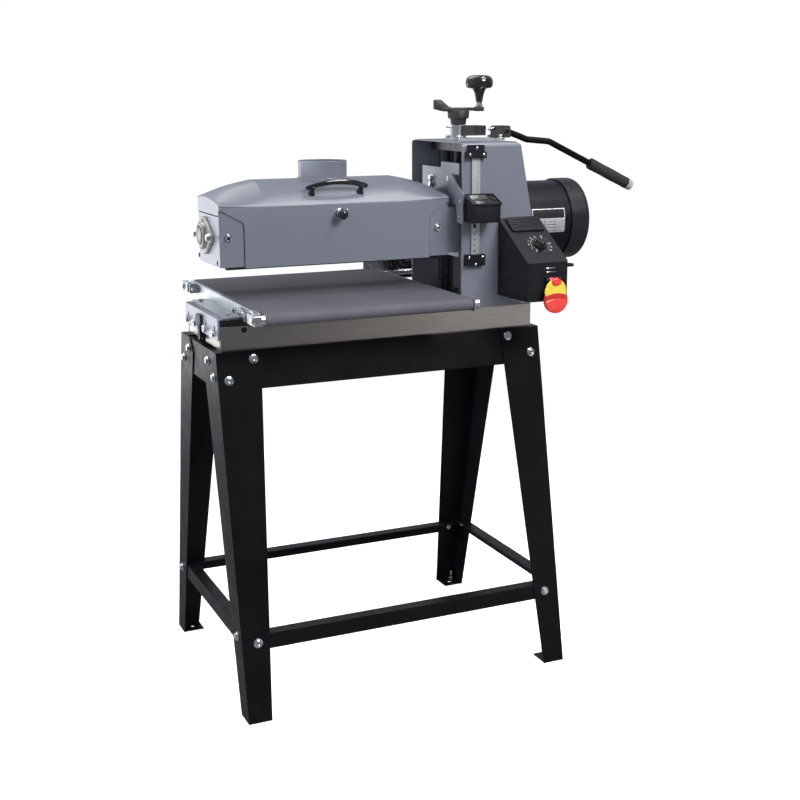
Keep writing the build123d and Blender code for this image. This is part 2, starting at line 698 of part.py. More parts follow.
def drum_bearing(face, direction):
    """Two-bolt flange bearing; face is where its flange sits, direction is its outer side."""
    outline = [(-62, 0), (-52, 11), (0, 38), (52, 11), (62, 0), (52, -11), (0, -38), (-52, -11)]
    near = min(face, face + direction * 7)
    flange = prism_x([(y, z + DRUM_Z) for y, z in outline], near, near + 7)
    hub_near = min(face, face + direction * 14)
    bearing = flange + rod_x(hub_near, hub_near + 14, 0, DRUM_Z, 27)
    bolt_near = min(face, face + direction * 12)
    for y in (-48, 48):
        bearing += hexagon((bolt_near, y, DRUM_Z), (1, 0, 0), 13, 12)
    return bearing - rod_x(hub_near - 1, hub_near + 16, 0, DRUM_Z, SHAFT_R + RUN_FIT)


def sanding_drum():
    """Hollow drum with end discs on its shaft, and the coupling to the motor."""
    drum = rod_x(DRUM_LEFT, DRUM_RIGHT, 0, DRUM_Z, DRUM_R)
    drum -= rod_x(DRUM_LEFT + 10, DRUM_RIGHT - 10, 0, DRUM_Z, DRUM_R - 6.5)
    shaft = rod_x(HEAD_LEFT - 15, 320, 0, DRUM_Z, SHAFT_R)
    shaft += rod_x(205, 285, 0, DRUM_Z, 16)
    return drum + shaft


def abrasive_wrap():
    wrap = rod_x(DRUM_LEFT + 1, DRUM_RIGHT - 1, 0, DRUM_Z, DRUM_R + WRAP_SHEET)
    return wrap - rod_x(DRUM_LEFT, DRUM_RIGHT, 0, DRUM_Z, DRUM_R)


def pressure_roller(side):
    y = side * PRESS_Y
    left = HEAD_LEFT + END_PLATE + 1
    right = HEAD_RIGHT - COVER_SHEET - END_PLATE - 1.4
    roller = rod_x(left + 4, right - 4, y, PRESS_Z, PRESS_R)
    roller += rod_x(left - 9, right + 9, y, PRESS_Z, 5)
    return roller


def end_blend(x):
    """0 along the level middle of the cover, 1 at its two ends."""
    left, right = COVER_LEVEL
    run = max(left - x, x - right, 0.0) / (left - HEAD_LEFT)
    return 0.6 * run + 0.4 * run ** 3


def cover_height(share, blend):
    """Height of the cover's top; share is 0 over the drum axis and 1 at the front or rear face."""
    middle = COVER_EDGE + (COVER_RIDGE - COVER_EDGE) * (1 - share ** 2.2)
    end = COVER_END_EDGE + (COVER_END_RIDGE - COVER_END_EDGE) * (1 - share ** 2)
    return middle + (end - middle) * blend


def cover_section(x, blend, inset, low):
    """Closed section of the dust cover at x, moved inwards by inset."""
    half = HEAD_BACK - inset
    shares = (-1, -0.93, -0.84, -0.74, -0.62, -0.5, -0.35, -0.18)
    shares += (0,) + tuple(-share for share in reversed(shares))
    top = [(x, share * half, cover_height(abs(share), blend) - inset) for share in shares]
    return make_face(Polyline((x, -half, low), *top, (x, half, low), close=True))


def cover_solid(inset, low):
    """Outer or inner form of the dust cover: a level middle that curves down to both ends."""
    sections = []
    for x in (HEAD_LEFT, -322, -302, -275, *COVER_LEVEL, 101, 128, 148, HEAD_RIGHT):
        place = min(max(x, HEAD_LEFT + inset), HEAD_RIGHT - inset)
        sections.append(cover_section(place, end_blend(x), inset, low))
    return loft(sections, ruled=True)


def dust_cover():
    """Hinged sheet cover, open below, with a cut-out at both lower front corners."""
    cover = cover_solid(0, COVER_BOTTOM) - cover_solid(COVER_SHEET, COVER_BOTTOM - 2)
    # the ends stand on the end brackets, the back ends above the hinge
    cover -= block(HEAD_LEFT - 1, HEAD_LEFT + 3, -200, 200, 880, COVER_JOINT)
    cover -= block(HEAD_RIGHT - 3, HEAD_RIGHT + 1, -200, 200, 880, COVER_JOINT)
    cover -= block(-400, 200, 80, 110, 880, HINGE_Z)
    left_cut = [(-345, 880), (-286, 880), (-286, 973.5), (-291, 984), (-331, 1003), (-345, 1003)]
    right_cut = [(170, 880), (118, 880), (118, 974.5), (121, 984), (156, 1003), (170, 1003)]
    cover -= prism_y(left_cut, -110, -85)
    cover -= prism_y(right_cut, -110, -85)
    cover -= prism_z([(HEAD_LEFT - 1, 52), (HEAD_LEFT - 1, 110), (HEAD_LEFT + 19, 110)], 880, 1065)
    cover -= rod_z(1040, 1065, PORT_X, 0, PORT_R - 2.5)
    for x in HINGE_X:
        knuckle = rod_x(x - 20, x + 20, HINGE_Y, HINGE_Z, 4.2)
        knuckle += block(x - 20, x + 20, HEAD_BACK - 0.5, HINGE_Y, HINGE_Z, HINGE_Z + 4.2)
        cover += knuckle
    return cover


HINGE_X = (-240, 66)


def cover_hinge_leaf(x):
    """Fixed hinge leaf on the rear beam, on both sides of the cover's knuckle."""
    leaf = block(x - 34, x + 34, 91, 94.6, 912, 929)
    for side in (-1, 1):
        centre = x + side * 27.2
        leaf += rod_x(centre - 6.8, centre + 6.8, HINGE_Y, HINGE_Z, 4.2)
        leaf += prism_x([(91, 920), (94.6, 920), (HINGE_Y + 3, HINGE_Z - 3), (HINGE_Y - 3, HINGE_Z + 1)],
                        centre - 6.8, centre + 6.8)
    return leaf


def dust_port():
    """Round hose collar with a bead at its foot, scribed to the curved top of the cover."""
    port = rod_z(COVER_EDGE, PORT_TOP, PORT_X, 0, PORT_R)
    port += rod_z(COVER_EDGE, PORT_FOOT, PORT_X, 0, PORT_R + 2.5)
    port -= rod_z(COVER_EDGE - 1, PORT_TOP + 1, PORT_X, 0, PORT_R - 2.5)
    return port - cover_solid(0, COVER_EDGE - 2)


def cover_handle():
    """Bow handle: an arched bar on two posts that are scribed to the cover's front slope."""
    half_grip = 53.0
    half_bar = 68.0
    bar_r = 5.4
    post_r = 5.6
    middle = PORT_X
    out = Vector(0, -0.5, math.sqrt(0.75))
    root = Vector(middle, -74.5, COVER_EDGE + 19.0)
    ends = [root + out * 13 + Vector(side * half_bar, 0, 0) for side in (-1, 1)]
    path = ThreePointArc(ends[0], root + out * 27, ends[1])
    handle = sweep(Plane(origin=path @ 0, z_dir=path % 0) * Circle(bar_r), path=path)
    for side in (-1, 1):
        foot = root - out * 5 + Vector(side * half_grip, 0, 0)
        handle += extrude(Plane(origin=foot, z_dir=out) * Circle(post_r), 23)
    return handle - cover_solid(0, COVER_EDGE - 5)


def latch_knob():
    profile = [(0, 0), (4.5, 0), (4.5, 9), (8, 11.5), (10.6, 16), (11, 21), (9.3, 26.5), (5, 30), (0, 31)]
    return turned(profile, (-85, HEAD_FRONT, 989), (0, -1, 0))


# ---------------------------------------------------------------- motor
def motor_body():
    body = rod_x(MOTOR_LEFT, FAN_COVER_LEFT + 4, 0, DRUM_Z, MOTOR_R)
    body = chamfer(body.edges().filter_by(GeomType.CIRCLE).group_by(Axis.X)[0], 6)
    body -= rod_x(MOTOR_LEFT + 36, FAN_COVER_LEFT - 8, 0, DRUM_Z, 60)
    body -= rod_x(MOTOR_LEFT - 1, 330, 0, DRUM_Z, SHAFT_R + RUN_FIT)
    return body


def motor_fan_cover():
    cover = rod_x(FAN_COVER_LEFT, FAN_COVER_RIGHT, 0, DRUM_Z, FAN_COVER_R)
    cover = fillet(cover.edges().filter_by(GeomType.CIRCLE).group_by(Axis.X)[-1], 12)
    cover -= rod_x(FAN_COVER_LEFT - 1, FAN_COVER_LEFT + 4, 0, DRUM_Z, MOTOR_R)
    cavity = rod_x(FAN_COVER_LEFT + 4, FAN_COVER_RIGHT - 2, 0, DRUM_Z, FAN_COVER_R - 2)
    cavity = fillet(cavity.edges().filter_by(GeomType.CIRCLE).group_by(Axis.X)[-1], 10)
    cover -= cavity
    for ring in (22, 36, 50, 64):
        count = ring // 4
        for step in range(count):
            turn = 2 * math.pi * step / count
            y = ring * math.cos(turn)
            z = DRUM_Z + ring * math.sin(turn)
            cover -= rod_x(FAN_COVER_RIGHT - 4, FAN_COVER_RIGHT + 1, y, z, 4)
    return cover


# ---------------------------------------------------------------- readout
def readout_bracket():
    """Bent sheet from the carriage round the column edge to the readout housing."""
    outline = [(-74, 1061), (-66, 1061), (-66, 1000), (-84, 999), (-106, 998), (-110, 960), (-136, 960),
               (-136, 1022), (-82, 1061)]
    arm = prism_x(outline, 173.5, 176)
    tail = block(173.5, 188, -80, -68, 1020, 1058)
    return arm + tail


def readout_box():
    outline = [(-133.4, 964), (-133.4, 1021), (-136, 1022), (-180, 1003), (-180, 964)]
    box = prism_x(outline, 176, 245)
    return chamfer(box.edges().filter_by(Axis.Z).group_by(Axis.Y)[0], 2.5)


READOUT_NORMAL = Vector(0, -19, 44).normalized()


def readout_button():
    """Sprung button on the sloping face of the readout."""
    base = Vector(232, -160, 1011.6)
    plane = Plane(origin=base - READOUT_NORMAL * 3, x_dir=(1, 0, 0), z_dir=READOUT_NORMAL)
    return extrude(plane * RectangleRounded(11, 8, 2), 5)


def readout_button_well():
    base = Vector(232, -160, 1011.6)
    plane = Plane(origin=base - READOUT_NORMAL * 4.5, x_dir=(1, 0, 0), z_dir=READOUT_NORMAL)
    return extrude(plane * RectangleRounded(11.6, 8.6, 2), 8)


# ---------------------------------------------------------------- controls
PANEL_BACK = (-125.0, 967.0)
PANEL_FRONT = (BOX_FRONT, 886.0)
PANEL_NORMAL = Vector(0, PANEL_FRONT[1] - PANEL_BACK[1], PANEL_BACK[0] - PANEL_FRONT[0]).normalized()


def panel_point(x, along, above=0.0):
    """Point on the sloping panel; along is 0 at its rear top edge and 1 at its front edge."""
    y = PANEL_BACK[0] + along * (PANEL_FRONT[0] - PANEL_BACK[0])
    z = PANEL_BACK[1] + along * (PANEL_FRONT[1] - PANEL_BACK[1])
    return Vector(x, y, z) + PANEL_NORMAL * above


DIAL_POINT = (320.0, 0.62)
PADDLE_X = 323.0
PADDLE_PIN = (BOX_FRONT - 6.0, 850.0)
RESET_POINT = (BOX_FRONT + 22.0, 842.0)
HOOK_Y = -234.0


def control_box():
    outline = [(PANEL_BACK[0], BOX_BOTTOM), PANEL_BACK, PANEL_FRONT, (BOX_FRONT, BOX_BOTTOM)]
    box = prism_x(outline, BOX_LEFT, BOX_RIGHT)
    box = fillet(box.edges().filter_by(Axis.Z).group_by(Axis.Y)[0], 4)
    pad = Plane(origin=panel_point(316, 0.17), x_dir=(1, 0, 0), z_dir=PANEL_NORMAL)
    box += extrude(pad * RectangleRounded(78, 46, 5), 4)
    dial = Plane(origin=panel_point(*DIAL_POINT, above=-6), x_dir=(1, 0, 0), z_dir=PANEL_NORMAL)
    box -= extrude(dial * Circle(4 + RUN_FIT), 12)
    for side in (-1, 1):
        x = PADDLE_X + side * 15
        box += rod_x(x - 2.5, x + 2.5, PADDLE_PIN[0], PADDLE_PIN[1], 5)
        box += block(x - 2.5, x + 2.5, PADDLE_PIN[0], BOX_FRONT + 2, PADDLE_PIN[1] - 5, PADDLE_PIN[1] + 5)
    box -= rod_x(PADDLE_X - 20, PADDLE_X + 20, PADDLE_PIN[0], PADDLE_PIN[1], 2 + RUN_FIT)
    box -= rod_x(BOX_RIGHT - 6, BOX_RIGHT + 1, RESET_POINT[0], RESET_POINT[1], 5.3)
    # hook ring for the cord on the right side
    ring_x = BOX_RIGHT + 11
    ring = rod_z(873, 878, ring_x, HOOK_Y, 12) - rod_z(870, 880, ring_x, HOOK_Y, 7.5)
    return box + ring


def speed_dial():
    origin = panel_point(*DIAL_POINT)
    plane = Plane(origin=origin + PANEL_NORMAL * 0.4, x_dir=(1, 0, 0), z_dir=PANEL_NORMAL)
    dial = extrude(plane * Circle(15), 3)
    dial += extrude(plane * Circle(11.5), 14, taper=4)
    dial += extrude(plane * Rectangle(6, 27), 15)
    shaft = Plane(origin=origin - PANEL_NORMAL * 5.5, x_dir=(1, 0, 0), z_dir=PANEL_NORMAL)
    return dial + extrude(shaft * Circle(4), 8)


def stop_paddle():
    """Lift-up stop paddle on its hinge pin, with a round lobe below a narrower one."""
    pin_y, pin_z = PADDLE_PIN
    back = pin_y - 5.5
    left = PADDLE_X - 11.6
    right = PADDLE_X + 11.6
    plane = Plane(origin=(PADDLE_X, back, 0), x_dir=(1, 0, 0), z_dir=(0, -1, 0))
    paddle = extrude(plane * Pos(0, 809.5) * Circle(27.5), 9)
    paddle += extrude(plane * Pos(0, 826) * Ellipse(25.5, 27), 7)
    paddle += block(left, right, back - 2, pin_y, pin_z - 4, pin_z + 2)
    paddle += rod_x(left, right, pin_y, pin_z, 5)
    paddle += rod_x(PADDLE_X - 18, PADDLE_X + 18, pin_y, pin_z, 2)
    return paddle


def reset_button():
    y, z = RESET_POINT
    button = rod_x(BOX_RIGHT - 4, BOX_RIGHT + 6, y, z, 5)
    return chamfer(button.edges().filter_by(GeomType.CIRCLE).group_by(Axis.X)[-1], 1)


# ---------------------------------------------------------------- write every node
CORNERS = {"front_left": (-1, -1), "front_right": (1, -1), "rear_left": (-1, 1), "rear_right": (1, 1)}


def build_stand():
    for place, (x_side, y_side) in CORNERS.items():
        write("leg_" + place, mirrored(drilled(leg()), x_side, y_side))
    for name, piece in (("rail", rail_front()), ("stretcher", stretcher_front())):
        write(name + "_front", piece)
        write(name + "_rear", mirror(piece, about=Plane.XZ))
    for name, piece in (("rail", rail_left()), ("stretcher", stretcher_left())):
        write(name + "_left", piece)
        write(name + "_right", mirror(piece, about=Plane.YZ))
    write("stand_bolts", stand_bolts())


def build_conveyor():
    write("base_channel", base_channel())
    write("outboard_bracket", outboard_bracket())
    write("height_key", height_key())
    write("conveyor_bed", conveyor_bed())
    write("conveyor_rail_outboard", conveyor_rail_outboard())
    write("conveyor_rail_inboard", conveyor_rail_inboard())
    write("take_up_blocks", group([take_up_block(-1), take_up_block(1)]))
    write("conveyor_screws", conveyor_screws())
    write("conveyor_belt", conveyor_belt())
    write("idler_roller", conveyor_roller(-1, IN_WEB + 5))
    write("drive_roller", conveyor_roller(1, 290))
    write("gearmotor", gearmotor())
    write("gearmotor_leads", gearmotor_leads())


def build_column():
    write("column_cover", column_cover())
    write("guide_posts", guide_posts())
    write("top_bearing_plate", top_bearing_plate())
    write("lead_screw", lead_screw())
    write("crank_arm", crank())
    write("crank_knob", crank_knob())
    write("lock_clamp", lock_clamp())
    write("lock_link", lock_link())
    write("lock_lever", lock_lever())
    write("lever_grip", lever_grip())
    write("lever_cap", lever_cap())
    write("depth_scale", depth_scale())
    write("scale_brackets", scale_brackets())


def build_head():
    frame = head_frame()
    for x in HINGE_X:
        frame += cover_hinge_leaf(x)
    write("head_carriage", head_carriage())
    write("head_frame", frame)
    write("head_bracket", outboard_bracket_plate())
    inner_face = HEAD_RIGHT - COVER_SHEET - 0.4
    write("drum_bearings", group([drum_bearing(HEAD_LEFT, -1), drum_bearing(inner_face, 1)]))
    write("sanding_drum", sanding_drum())
    write("abrasive_wrap", abrasive_wrap())
    write("pressure_roller_front", pressure_roller(-1))
    write("pressure_roller_rear", pressure_roller(1))
    write("dust_cover", dust_cover())
    write("dust_port", dust_port())
    write("cover_handle", cover_handle())
    write("latch_knob", latch_knob())
    write("motor_body", motor_body())
    write("motor_fan_cover", motor_fan_cover())
    write("readout_bracket", readout_bracket())
    write("readout_box", readout_box() - readout_button_well())
    write("readout_button", readout_button())


def build_controls():
    write("control_box", control_box())
    write("speed_dial", speed_dial())
    write("stop_paddle", stop_paddle())
    write("reset_button", reset_button())


build_stand()
build_conveyor()
build_column()
build_head()
build_controls()
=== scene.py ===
import json
import math

import bmesh
import bpy
from mathutils import Matrix, Vector


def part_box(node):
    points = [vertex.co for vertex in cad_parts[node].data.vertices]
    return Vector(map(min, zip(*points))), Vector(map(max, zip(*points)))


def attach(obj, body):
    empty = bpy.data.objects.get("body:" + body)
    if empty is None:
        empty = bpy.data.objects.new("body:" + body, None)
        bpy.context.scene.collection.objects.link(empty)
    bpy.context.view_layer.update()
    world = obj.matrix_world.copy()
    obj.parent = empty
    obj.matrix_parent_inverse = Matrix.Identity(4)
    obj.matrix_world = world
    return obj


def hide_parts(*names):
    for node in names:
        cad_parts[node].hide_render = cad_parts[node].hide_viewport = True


# Open-end drum sander on a steel stand. Metres, +Z up, -Y is the infeed side where the
# operator stands, +X runs along the drum towards the motor.

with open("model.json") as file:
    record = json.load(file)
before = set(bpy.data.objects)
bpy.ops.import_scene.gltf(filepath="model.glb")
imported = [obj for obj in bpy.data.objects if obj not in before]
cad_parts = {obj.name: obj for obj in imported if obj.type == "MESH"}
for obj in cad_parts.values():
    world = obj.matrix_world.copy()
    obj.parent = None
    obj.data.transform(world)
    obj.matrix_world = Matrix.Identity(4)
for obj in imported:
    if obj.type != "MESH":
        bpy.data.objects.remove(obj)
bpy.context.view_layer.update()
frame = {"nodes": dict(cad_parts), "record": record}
nodes = frame["nodes"]
MM = 0.001
UP = Vector((0, 0, 1))
FRONT = Vector((0, -1, 0))
RIGHT = Vector((1, 0, 0))

COVER_SHEET = 2 * MM
COVER_EDGE = 1010 * MM
COVER_END_RIDGE = 1026 * MM
COVER_END_EDGE = 1015 * MM
COVER_JOINT = 993.5 * MM
LEVEL_RUN = 97 * MM            # each end of the cover curves down over this length
END_PLATE_TOP = 1002.5 * MM
HINGE_LINE = 936 * MM
DRUM_R = 62.5 * MM
PORT_R = 50.8 * MM
PORT_BORE = PORT_R - 2.5 * MM
GRIP_R = 13.2 * MM
LEVER_RUN = Vector((210, 0, -98.5))
PANEL_BACK = Vector((0, -125 * MM, 967 * MM))
PANEL_FRONT = Vector((0, -253 * MM, 886 * MM))
PANEL_NORMAL = Vector((0, -81, 128)).normalized()
PANEL_FACE = 361 * MM          # right side of the control housing
DIAL_X = 320 * MM
DIAL_ALONG = 0.62
READOUT_NORMAL = Vector((0, -19, 44)).normalized()
ROLLER_REACH = 248 * MM
BASE_FRONT = -120 * MM
STAND_HEIGHT = 730 * MM
STAND_HALF_WIDTH = 364 * MM
LEG_TOP_Y = 129 * MM
LEG_SPLAY = 143.5 * MM


# ---------------------------------------------------------------- materials
class Tree:
    """A node tree that is built a node at a time."""

    def __init__(self, tree):
        self.tree = tree

    def node(self, kind, **settings):
        made = self.tree.nodes.new(kind)
        for key, value in settings.items():
            if key in made.inputs:
                made.inputs[key].default_value = value
            else:
                setattr(made, key, value)
        return made

    def link(self, output, socket):
        self.tree.links.new(output, socket)


class Paint(Tree):
    """One procedural material, built around a Principled shader."""

    def __init__(self, name, colour, roughness, metallic=0.0, **constants):
        self.material = bpy.data.materials.new(name)
        self.material.use_nodes = True
        super().__init__(self.material.node_tree)
        self.shader = self.tree.nodes["Principled BSDF"]
        self.material.diffuse_color = (*colour, 1.0)
        self.set("Base Color", (*colour, 1.0))
        self.set("Roughness", roughness)
        self.set("Metallic", metallic)
        for socket, value in constants.items():
            self.set(socket.replace("_", " "), value)
        self.bevel = None

    def set(self, socket, value):
        self.shader.inputs[socket].default_value = value

    def noise(self, scale, detail=3.0, stretch=(1, 1, 1)):
        """Noise over object coordinates in metres, stretched along the axes."""
        mapping = self.node("ShaderNodeMapping", Scale=stretch)
        self.link(self.node("ShaderNodeTexCoord").outputs["Object"], mapping.inputs["Vector"])
        texture = self.node("ShaderNodeTexNoise", Scale=scale, Detail=detail)
        self.link(mapping.outputs["Vector"], texture.inputs["Vector"])
        return texture.outputs["Fac"]

    def levels(self, factor, low, high, at=(0.3, 0.7)):
        """Maps the middle of a factor's span to low..high: numbers or colours."""
        made = self.node("ShaderNodeValToRGB")
        for element, position, value in zip(made.color_ramp.elements, at, (low, high)):
            element.position = position
            element.color = (*value, 1) if isinstance(value, tuple) else (value, value, value, 1)
        self.link(factor, made.inputs["Fac"])
        return made.outputs["Color"]

    def mixed(self, first, second, blend="MIX"):
        """Colour mixer whose inputs are linked to outputs or set to constants."""
        mixer = self.node("ShaderNodeMix", data_type="RGBA", blend_type=blend)
        for socket, value in ((mixer.inputs[6], first), (mixer.inputs[7], second)):
            if isinstance(value, bpy.types.NodeSocket):
                self.link(value, socket)
            else:
                socket.default_value = value
        return mixer

    def vary(self, socket, factor, low, high, at=(0.3, 0.7)):
        self.link(self.levels(factor, low, high, at), self.shader.inputs[socket])

    def rounded(self, radius):
        """Softens sharp edges of the mesh in the shading only."""
        self.bevel = self.node("ShaderNodeBevel", samples=4, Radius=radius)
        self.link(self.bevel.outputs["Normal"], self.shader.inputs["Normal"])

    def bump(self, factor, strength, distance):
        made = self.node("ShaderNodeBump", Strength=strength, Distance=distance)
        self.link(factor, made.inputs["Height"])
        before = self.shader.inputs["Normal"]
        if before.is_linked:
            self.link(before.links[0].from_socket, made.inputs["Normal"])
        self.link(made.outputs["Normal"], self.shader.inputs["Normal"])

    def worn(self, colour, amount):
        """Lighter worn or chipped edges, where the rounded and true normals part."""
        dot = self.node("ShaderNodeVectorMath", operation="DOT_PRODUCT")
        self.link(self.bevel.outputs["Normal"], dot.inputs[0])
        self.link(self.node("ShaderNodeNewGeometry").outputs["Normal"], dot.inputs[1])
        edge = self.levels(dot.outputs["Value"], amount, 0.0, at=(0.82, 0.985))
        patchy = self.levels(self.noise(60, 4), 0.0, 1.0, at=(0.42, 0.62))
        mask = self.node("ShaderNodeMath", operation="MULTIPLY")
        self.link(edge, mask.inputs[0])
        self.link(patchy, mask.inputs[1])
        base = self.shader.inputs["Base Color"]
        mixer = self.mixed(base.links[0].from_socket, (*colour, 1))
        self.link(mask.outputs[0], mixer.inputs[0])
        self.link(mixer.outputs[2], base)


finishes = {}


def finish(name, colour, rough, tint, gloss=None, bevel=0.0, bump=None, chips=None, **constants):
    """Adds a finish. tint and gloss hold a noise and the low and high of colour and roughness,
    bump a noise, its strength and depth, and chips the colour and amount of worn edges. A noise
    is (scale, detail), or (scale, detail, stretch)."""
    paint = Paint(name, colour, rough, **constants)
    paint.vary("Base Color", paint.noise(*tint[0]), *tint[1:])
    if gloss:
        paint.vary("Roughness", paint.noise(*gloss[0]), *gloss[1:])
    if bevel:
        paint.rounded(bevel)
    if bump:
        paint.bump(paint.noise(*bump[0]), *bump[1:])
    if chips:
        paint.worn(*chips)
    finishes[name] = paint.material


def zinc(name, tone, rough):
    """Bright zinc plate with soft cloudy spangle."""
    finish(name, (0.72 * tone, 0.74 * tone, 0.78 * tone), rough,
           ((26, 5), (0.66 * tone, 0.69 * tone, 0.74 * tone), (0.76 * tone, 0.79 * tone, 0.84 * tone)),
           ((60, 4), rough - 0.05, rough + 0.05), 0.0005, ((300, 3), 0.02, 0.0002), metallic=1.0)


def abrasive(name, dark, light, grain):
    """Coated abrasive: packed grains on cloth."""
    paint = Paint(name, light, 0.85, Specular_IOR_Level=0.35)
    cloudy = paint.levels(paint.noise(7, 5), 0.80, 1.0)
    speck = paint.levels(paint.noise(grain, 2), dark, light, at=(0.35, 0.65))
    mixer = paint.mixed(speck, cloudy, "MULTIPLY")
    mixer.inputs[0].default_value = 1.0
    paint.link(mixer.outputs[2], paint.shader.inputs["Base Color"])
    paint.vary("Roughness", paint.noise(grain * 0.7, 2), 0.62, 0.95)
    paint.bump(paint.noise(grain, 3), 0.5, 0.0004)
    finishes[name] = paint.material


def plastic(name, colour, rough, grain=1500, strength=0.25, coat=0.0, shine=0.5):
    lighter = tuple(min(1.0, c * 1.25 + 0.001) for c in colour)
    finish(name, colour, rough, ((30, 4), colour, lighter), ((70, 3), rough * 0.85, min(1.0, rough * 1.2)),
           0.0008, ((grain, 3), strength, 0.0003), Coat_Weight=coat, Specular_IOR_Level=shine)


def painted_cast(name, colour, rough, shine=0.5):
    """Sand casting under paint."""
    finish(name, colour, rough, ((22, 5), colour, tuple(c * 1.4 + 0.001 for c in colour)),
           ((90, 4), rough * 0.8, rough * 1.2), 0.001, ((420, 4), 0.35, 0.0006),
           ((0.16, 0.16, 0.17), 0.5), Specular_IOR_Level=shine)


def rubber(name, tone, pores):
    finish(name, (tone, tone, tone * 1.05), 0.75, ((50, 4), (tone * 0.8,) * 3, (tone * 1.3,) * 3),
           ((120, 3), 0.6, 0.85), bump=((pores, 2), 0.35, 0.0005), Specular_IOR_Level=0.3)


finish("black_powder", (0.005, 0.005, 0.0065), 0.36,
       ((9, 4), (0.0034, 0.0034, 0.0048), (0.0064, 0.0062, 0.0084)), ((25, 4), 0.30, 0.42), 0.0012,
       ((1400, 2), 0.12, 0.0003), ((0.06, 0.06, 0.065), 0.5), Specular_IOR_Level=0.15)
finish("grey_paint", (0.19, 0.203, 0.25), 0.28,
       ((5, 4), (0.186, 0.199, 0.247), (0.195, 0.208, 0.257)), ((30, 4), 0.275, 0.305), 0.0012,
       ((1100, 2), 0.08, 0.0003), ((0.42, 0.44, 0.48), 0.35))
# brushed along X, with faint handling marks
finish("stainless", (0.58, 0.535, 0.50), 0.3,
       ((60, 5, (0.5, 14, 14)), (0.51, 0.465, 0.43), (0.63, 0.59, 0.555)),
       ((14, 5, (0.4, 2, 2)), 0.28, 0.34), 0.0006, ((60, 5, (0.5, 14, 14)), 0.02, 0.0001),
       metallic=1.0, Anisotropic=0.5)
zinc("zinc", 0.84, 0.38)
zinc("bolt_zinc", 1.05, 0.17)
# satin aluminium with a fine grain along its length
finish("scale_plate", (0.68, 0.69, 0.7), 0.38,
       ((40, 4, (8, 8, 0.6)), (0.60, 0.61, 0.63), (0.72, 0.73, 0.74)), ((30, 4), 0.34, 0.46), 0.0004,
       metallic=0.75)
abrasive("belt_abrasive", (0.078, 0.079, 0.094), (0.196, 0.198, 0.232), 1800)
abrasive("drum_abrasive", (0.10, 0.035, 0.015), (0.34, 0.14, 0.06), 2200)
# ground along its turning
finish("roller_steel", (0.7, 0.7, 0.71), 0.2,
       ((120, 4, (6, 1, 1)), (0.58, 0.58, 0.6), (0.78, 0.78, 0.79)), ((200, 3, (8, 1, 1)), 0.12, 0.3),
       0.0005, metallic=1.0)
plastic("black_plastic", (0.0066, 0.0074, 0.011), 0.42, shine=0.28)
# polished phenolic with fine swirl scratches in its gloss
finish("gloss_black", (0.008, 0.008, 0.009), 0.1, ((80, 4), (0.006, 0.006, 0.007), (0.014, 0.014, 0.016)),
       ((260, 5, (1, 1, 5)), 0.08, 0.2), 0.0008, Coat_Weight=0.6, Coat_Roughness=0.06)
painted_cast("cast_black", (0.022, 0.022, 0.024), 0.5)
finish("drum_metal", (0.22, 0.20, 0.19), 0.34, ((60, 4), (0.16, 0.145, 0.135), (0.30, 0.28, 0.27)),
       ((300, 3, (5, 1, 1)), 0.2, 0.42), 0.0006, metallic=1.0)
rubber("roller_rubber", 0.025, 1200)
painted_cast("motor_black", (0.0052, 0.0056, 0.009), 0.36, 0.18)
painted_cast("fan_black", (0.0125, 0.013, 0.018), 0.36, 0.3)
rubber("grip_foam", 0.03, 700)
plastic("white_plastic", (0.50, 0.54, 0.53), 0.3, 600, 0.08)
plastic("red_plastic", (0.78, 0.06, 0.048), 0.28, 900, 0.06, 0.3)
painted_cast("gearbox_grey", (0.17, 0.18, 0.19), 0.45)
rubber("lead_black", 0.014, 900)
# oiled bare steel with faint turning marks
finish("dark_steel", (0.07, 0.07, 0.075), 0.3,
       ((90, 4, (1, 1, 0.1)), (0.05, 0.05, 0.055), (0.10, 0.098, 0.10)),
       ((120, 3, (1, 1, 6)), 0.24, 0.38), 0.0008, metallic=1.0)
# grey cast bearing metal, brownish in its hollows
finish("gearbox_silver", (0.46, 0.45, 0.43), 0.36, ((70, 5), (0.30, 0.275, 0.25), (0.60, 0.595, 0.585)),
       ((110, 4), 0.3, 0.5), 0.001, ((380, 4), 0.25, 0.0005), metallic=0.85)
plastic("white_print", (0.72, 0.73, 0.74), 0.5, 900, 0.05)
plastic("yellow_plastic", (0.86, 0.64, 0.07), 0.3, 900, 0.06, 0.3)
# darker copy of the paddle red: painted shade for the band that steps down under the yellow plate
plastic("red_painted_shade", (0.50, 0.028, 0.02), 0.4, 900, 0.06)
# grey-green display
finish("lcd", (0.08, 0.09, 0.085), 0.2, ((35, 3), (0.06, 0.068, 0.064), (0.105, 0.115, 0.11)),
       bevel=0.0004, Coat_Weight=0.5, Coat_Roughness=0.1)

OWN_FINISH = {"guide_posts": "dark_steel", "lead_screw": "dark_steel", "motor_fan_cover": "fan_black"}
for part in frame["record"]["subparts"]:
    mesh = nodes[part["node"]].data
    mesh.materials.clear()
    mesh.materials.append(finishes[OWN_FINISH.get(part["node"], part["material_slot"])])


# ---------------------------------------------------------------- mesh helpers
def mm(*points):
    """Points given in millimetres, in metres."""
    return [tuple(value * MM for value in point) for point in points]


def at(x, y, z):
    """Place given in millimetres, in metres."""
    return Vector((x * MM, y * MM, z * MM))


def around(degrees):
    """Direction outwards from the motor's axis, at an angle up from its front."""
    turn = math.radians(degrees)
    return Vector((0, -math.cos(turn), math.sin(turn)))


def placed(origin, axis, across=None):
    """Matrix that takes local Z to axis, and local X as near across as it can be."""
    z = Vector(axis).normalized()
    x = Vector(across) if across else (RIGHT if abs(z.x) < 0.9 else UP)
    x = (x - z * x.dot(z)).normalized()
    turn = Matrix((x, z.cross(x), z)).transposed()
    return Matrix.Translation(Vector(origin)) @ turn.to_4x4()


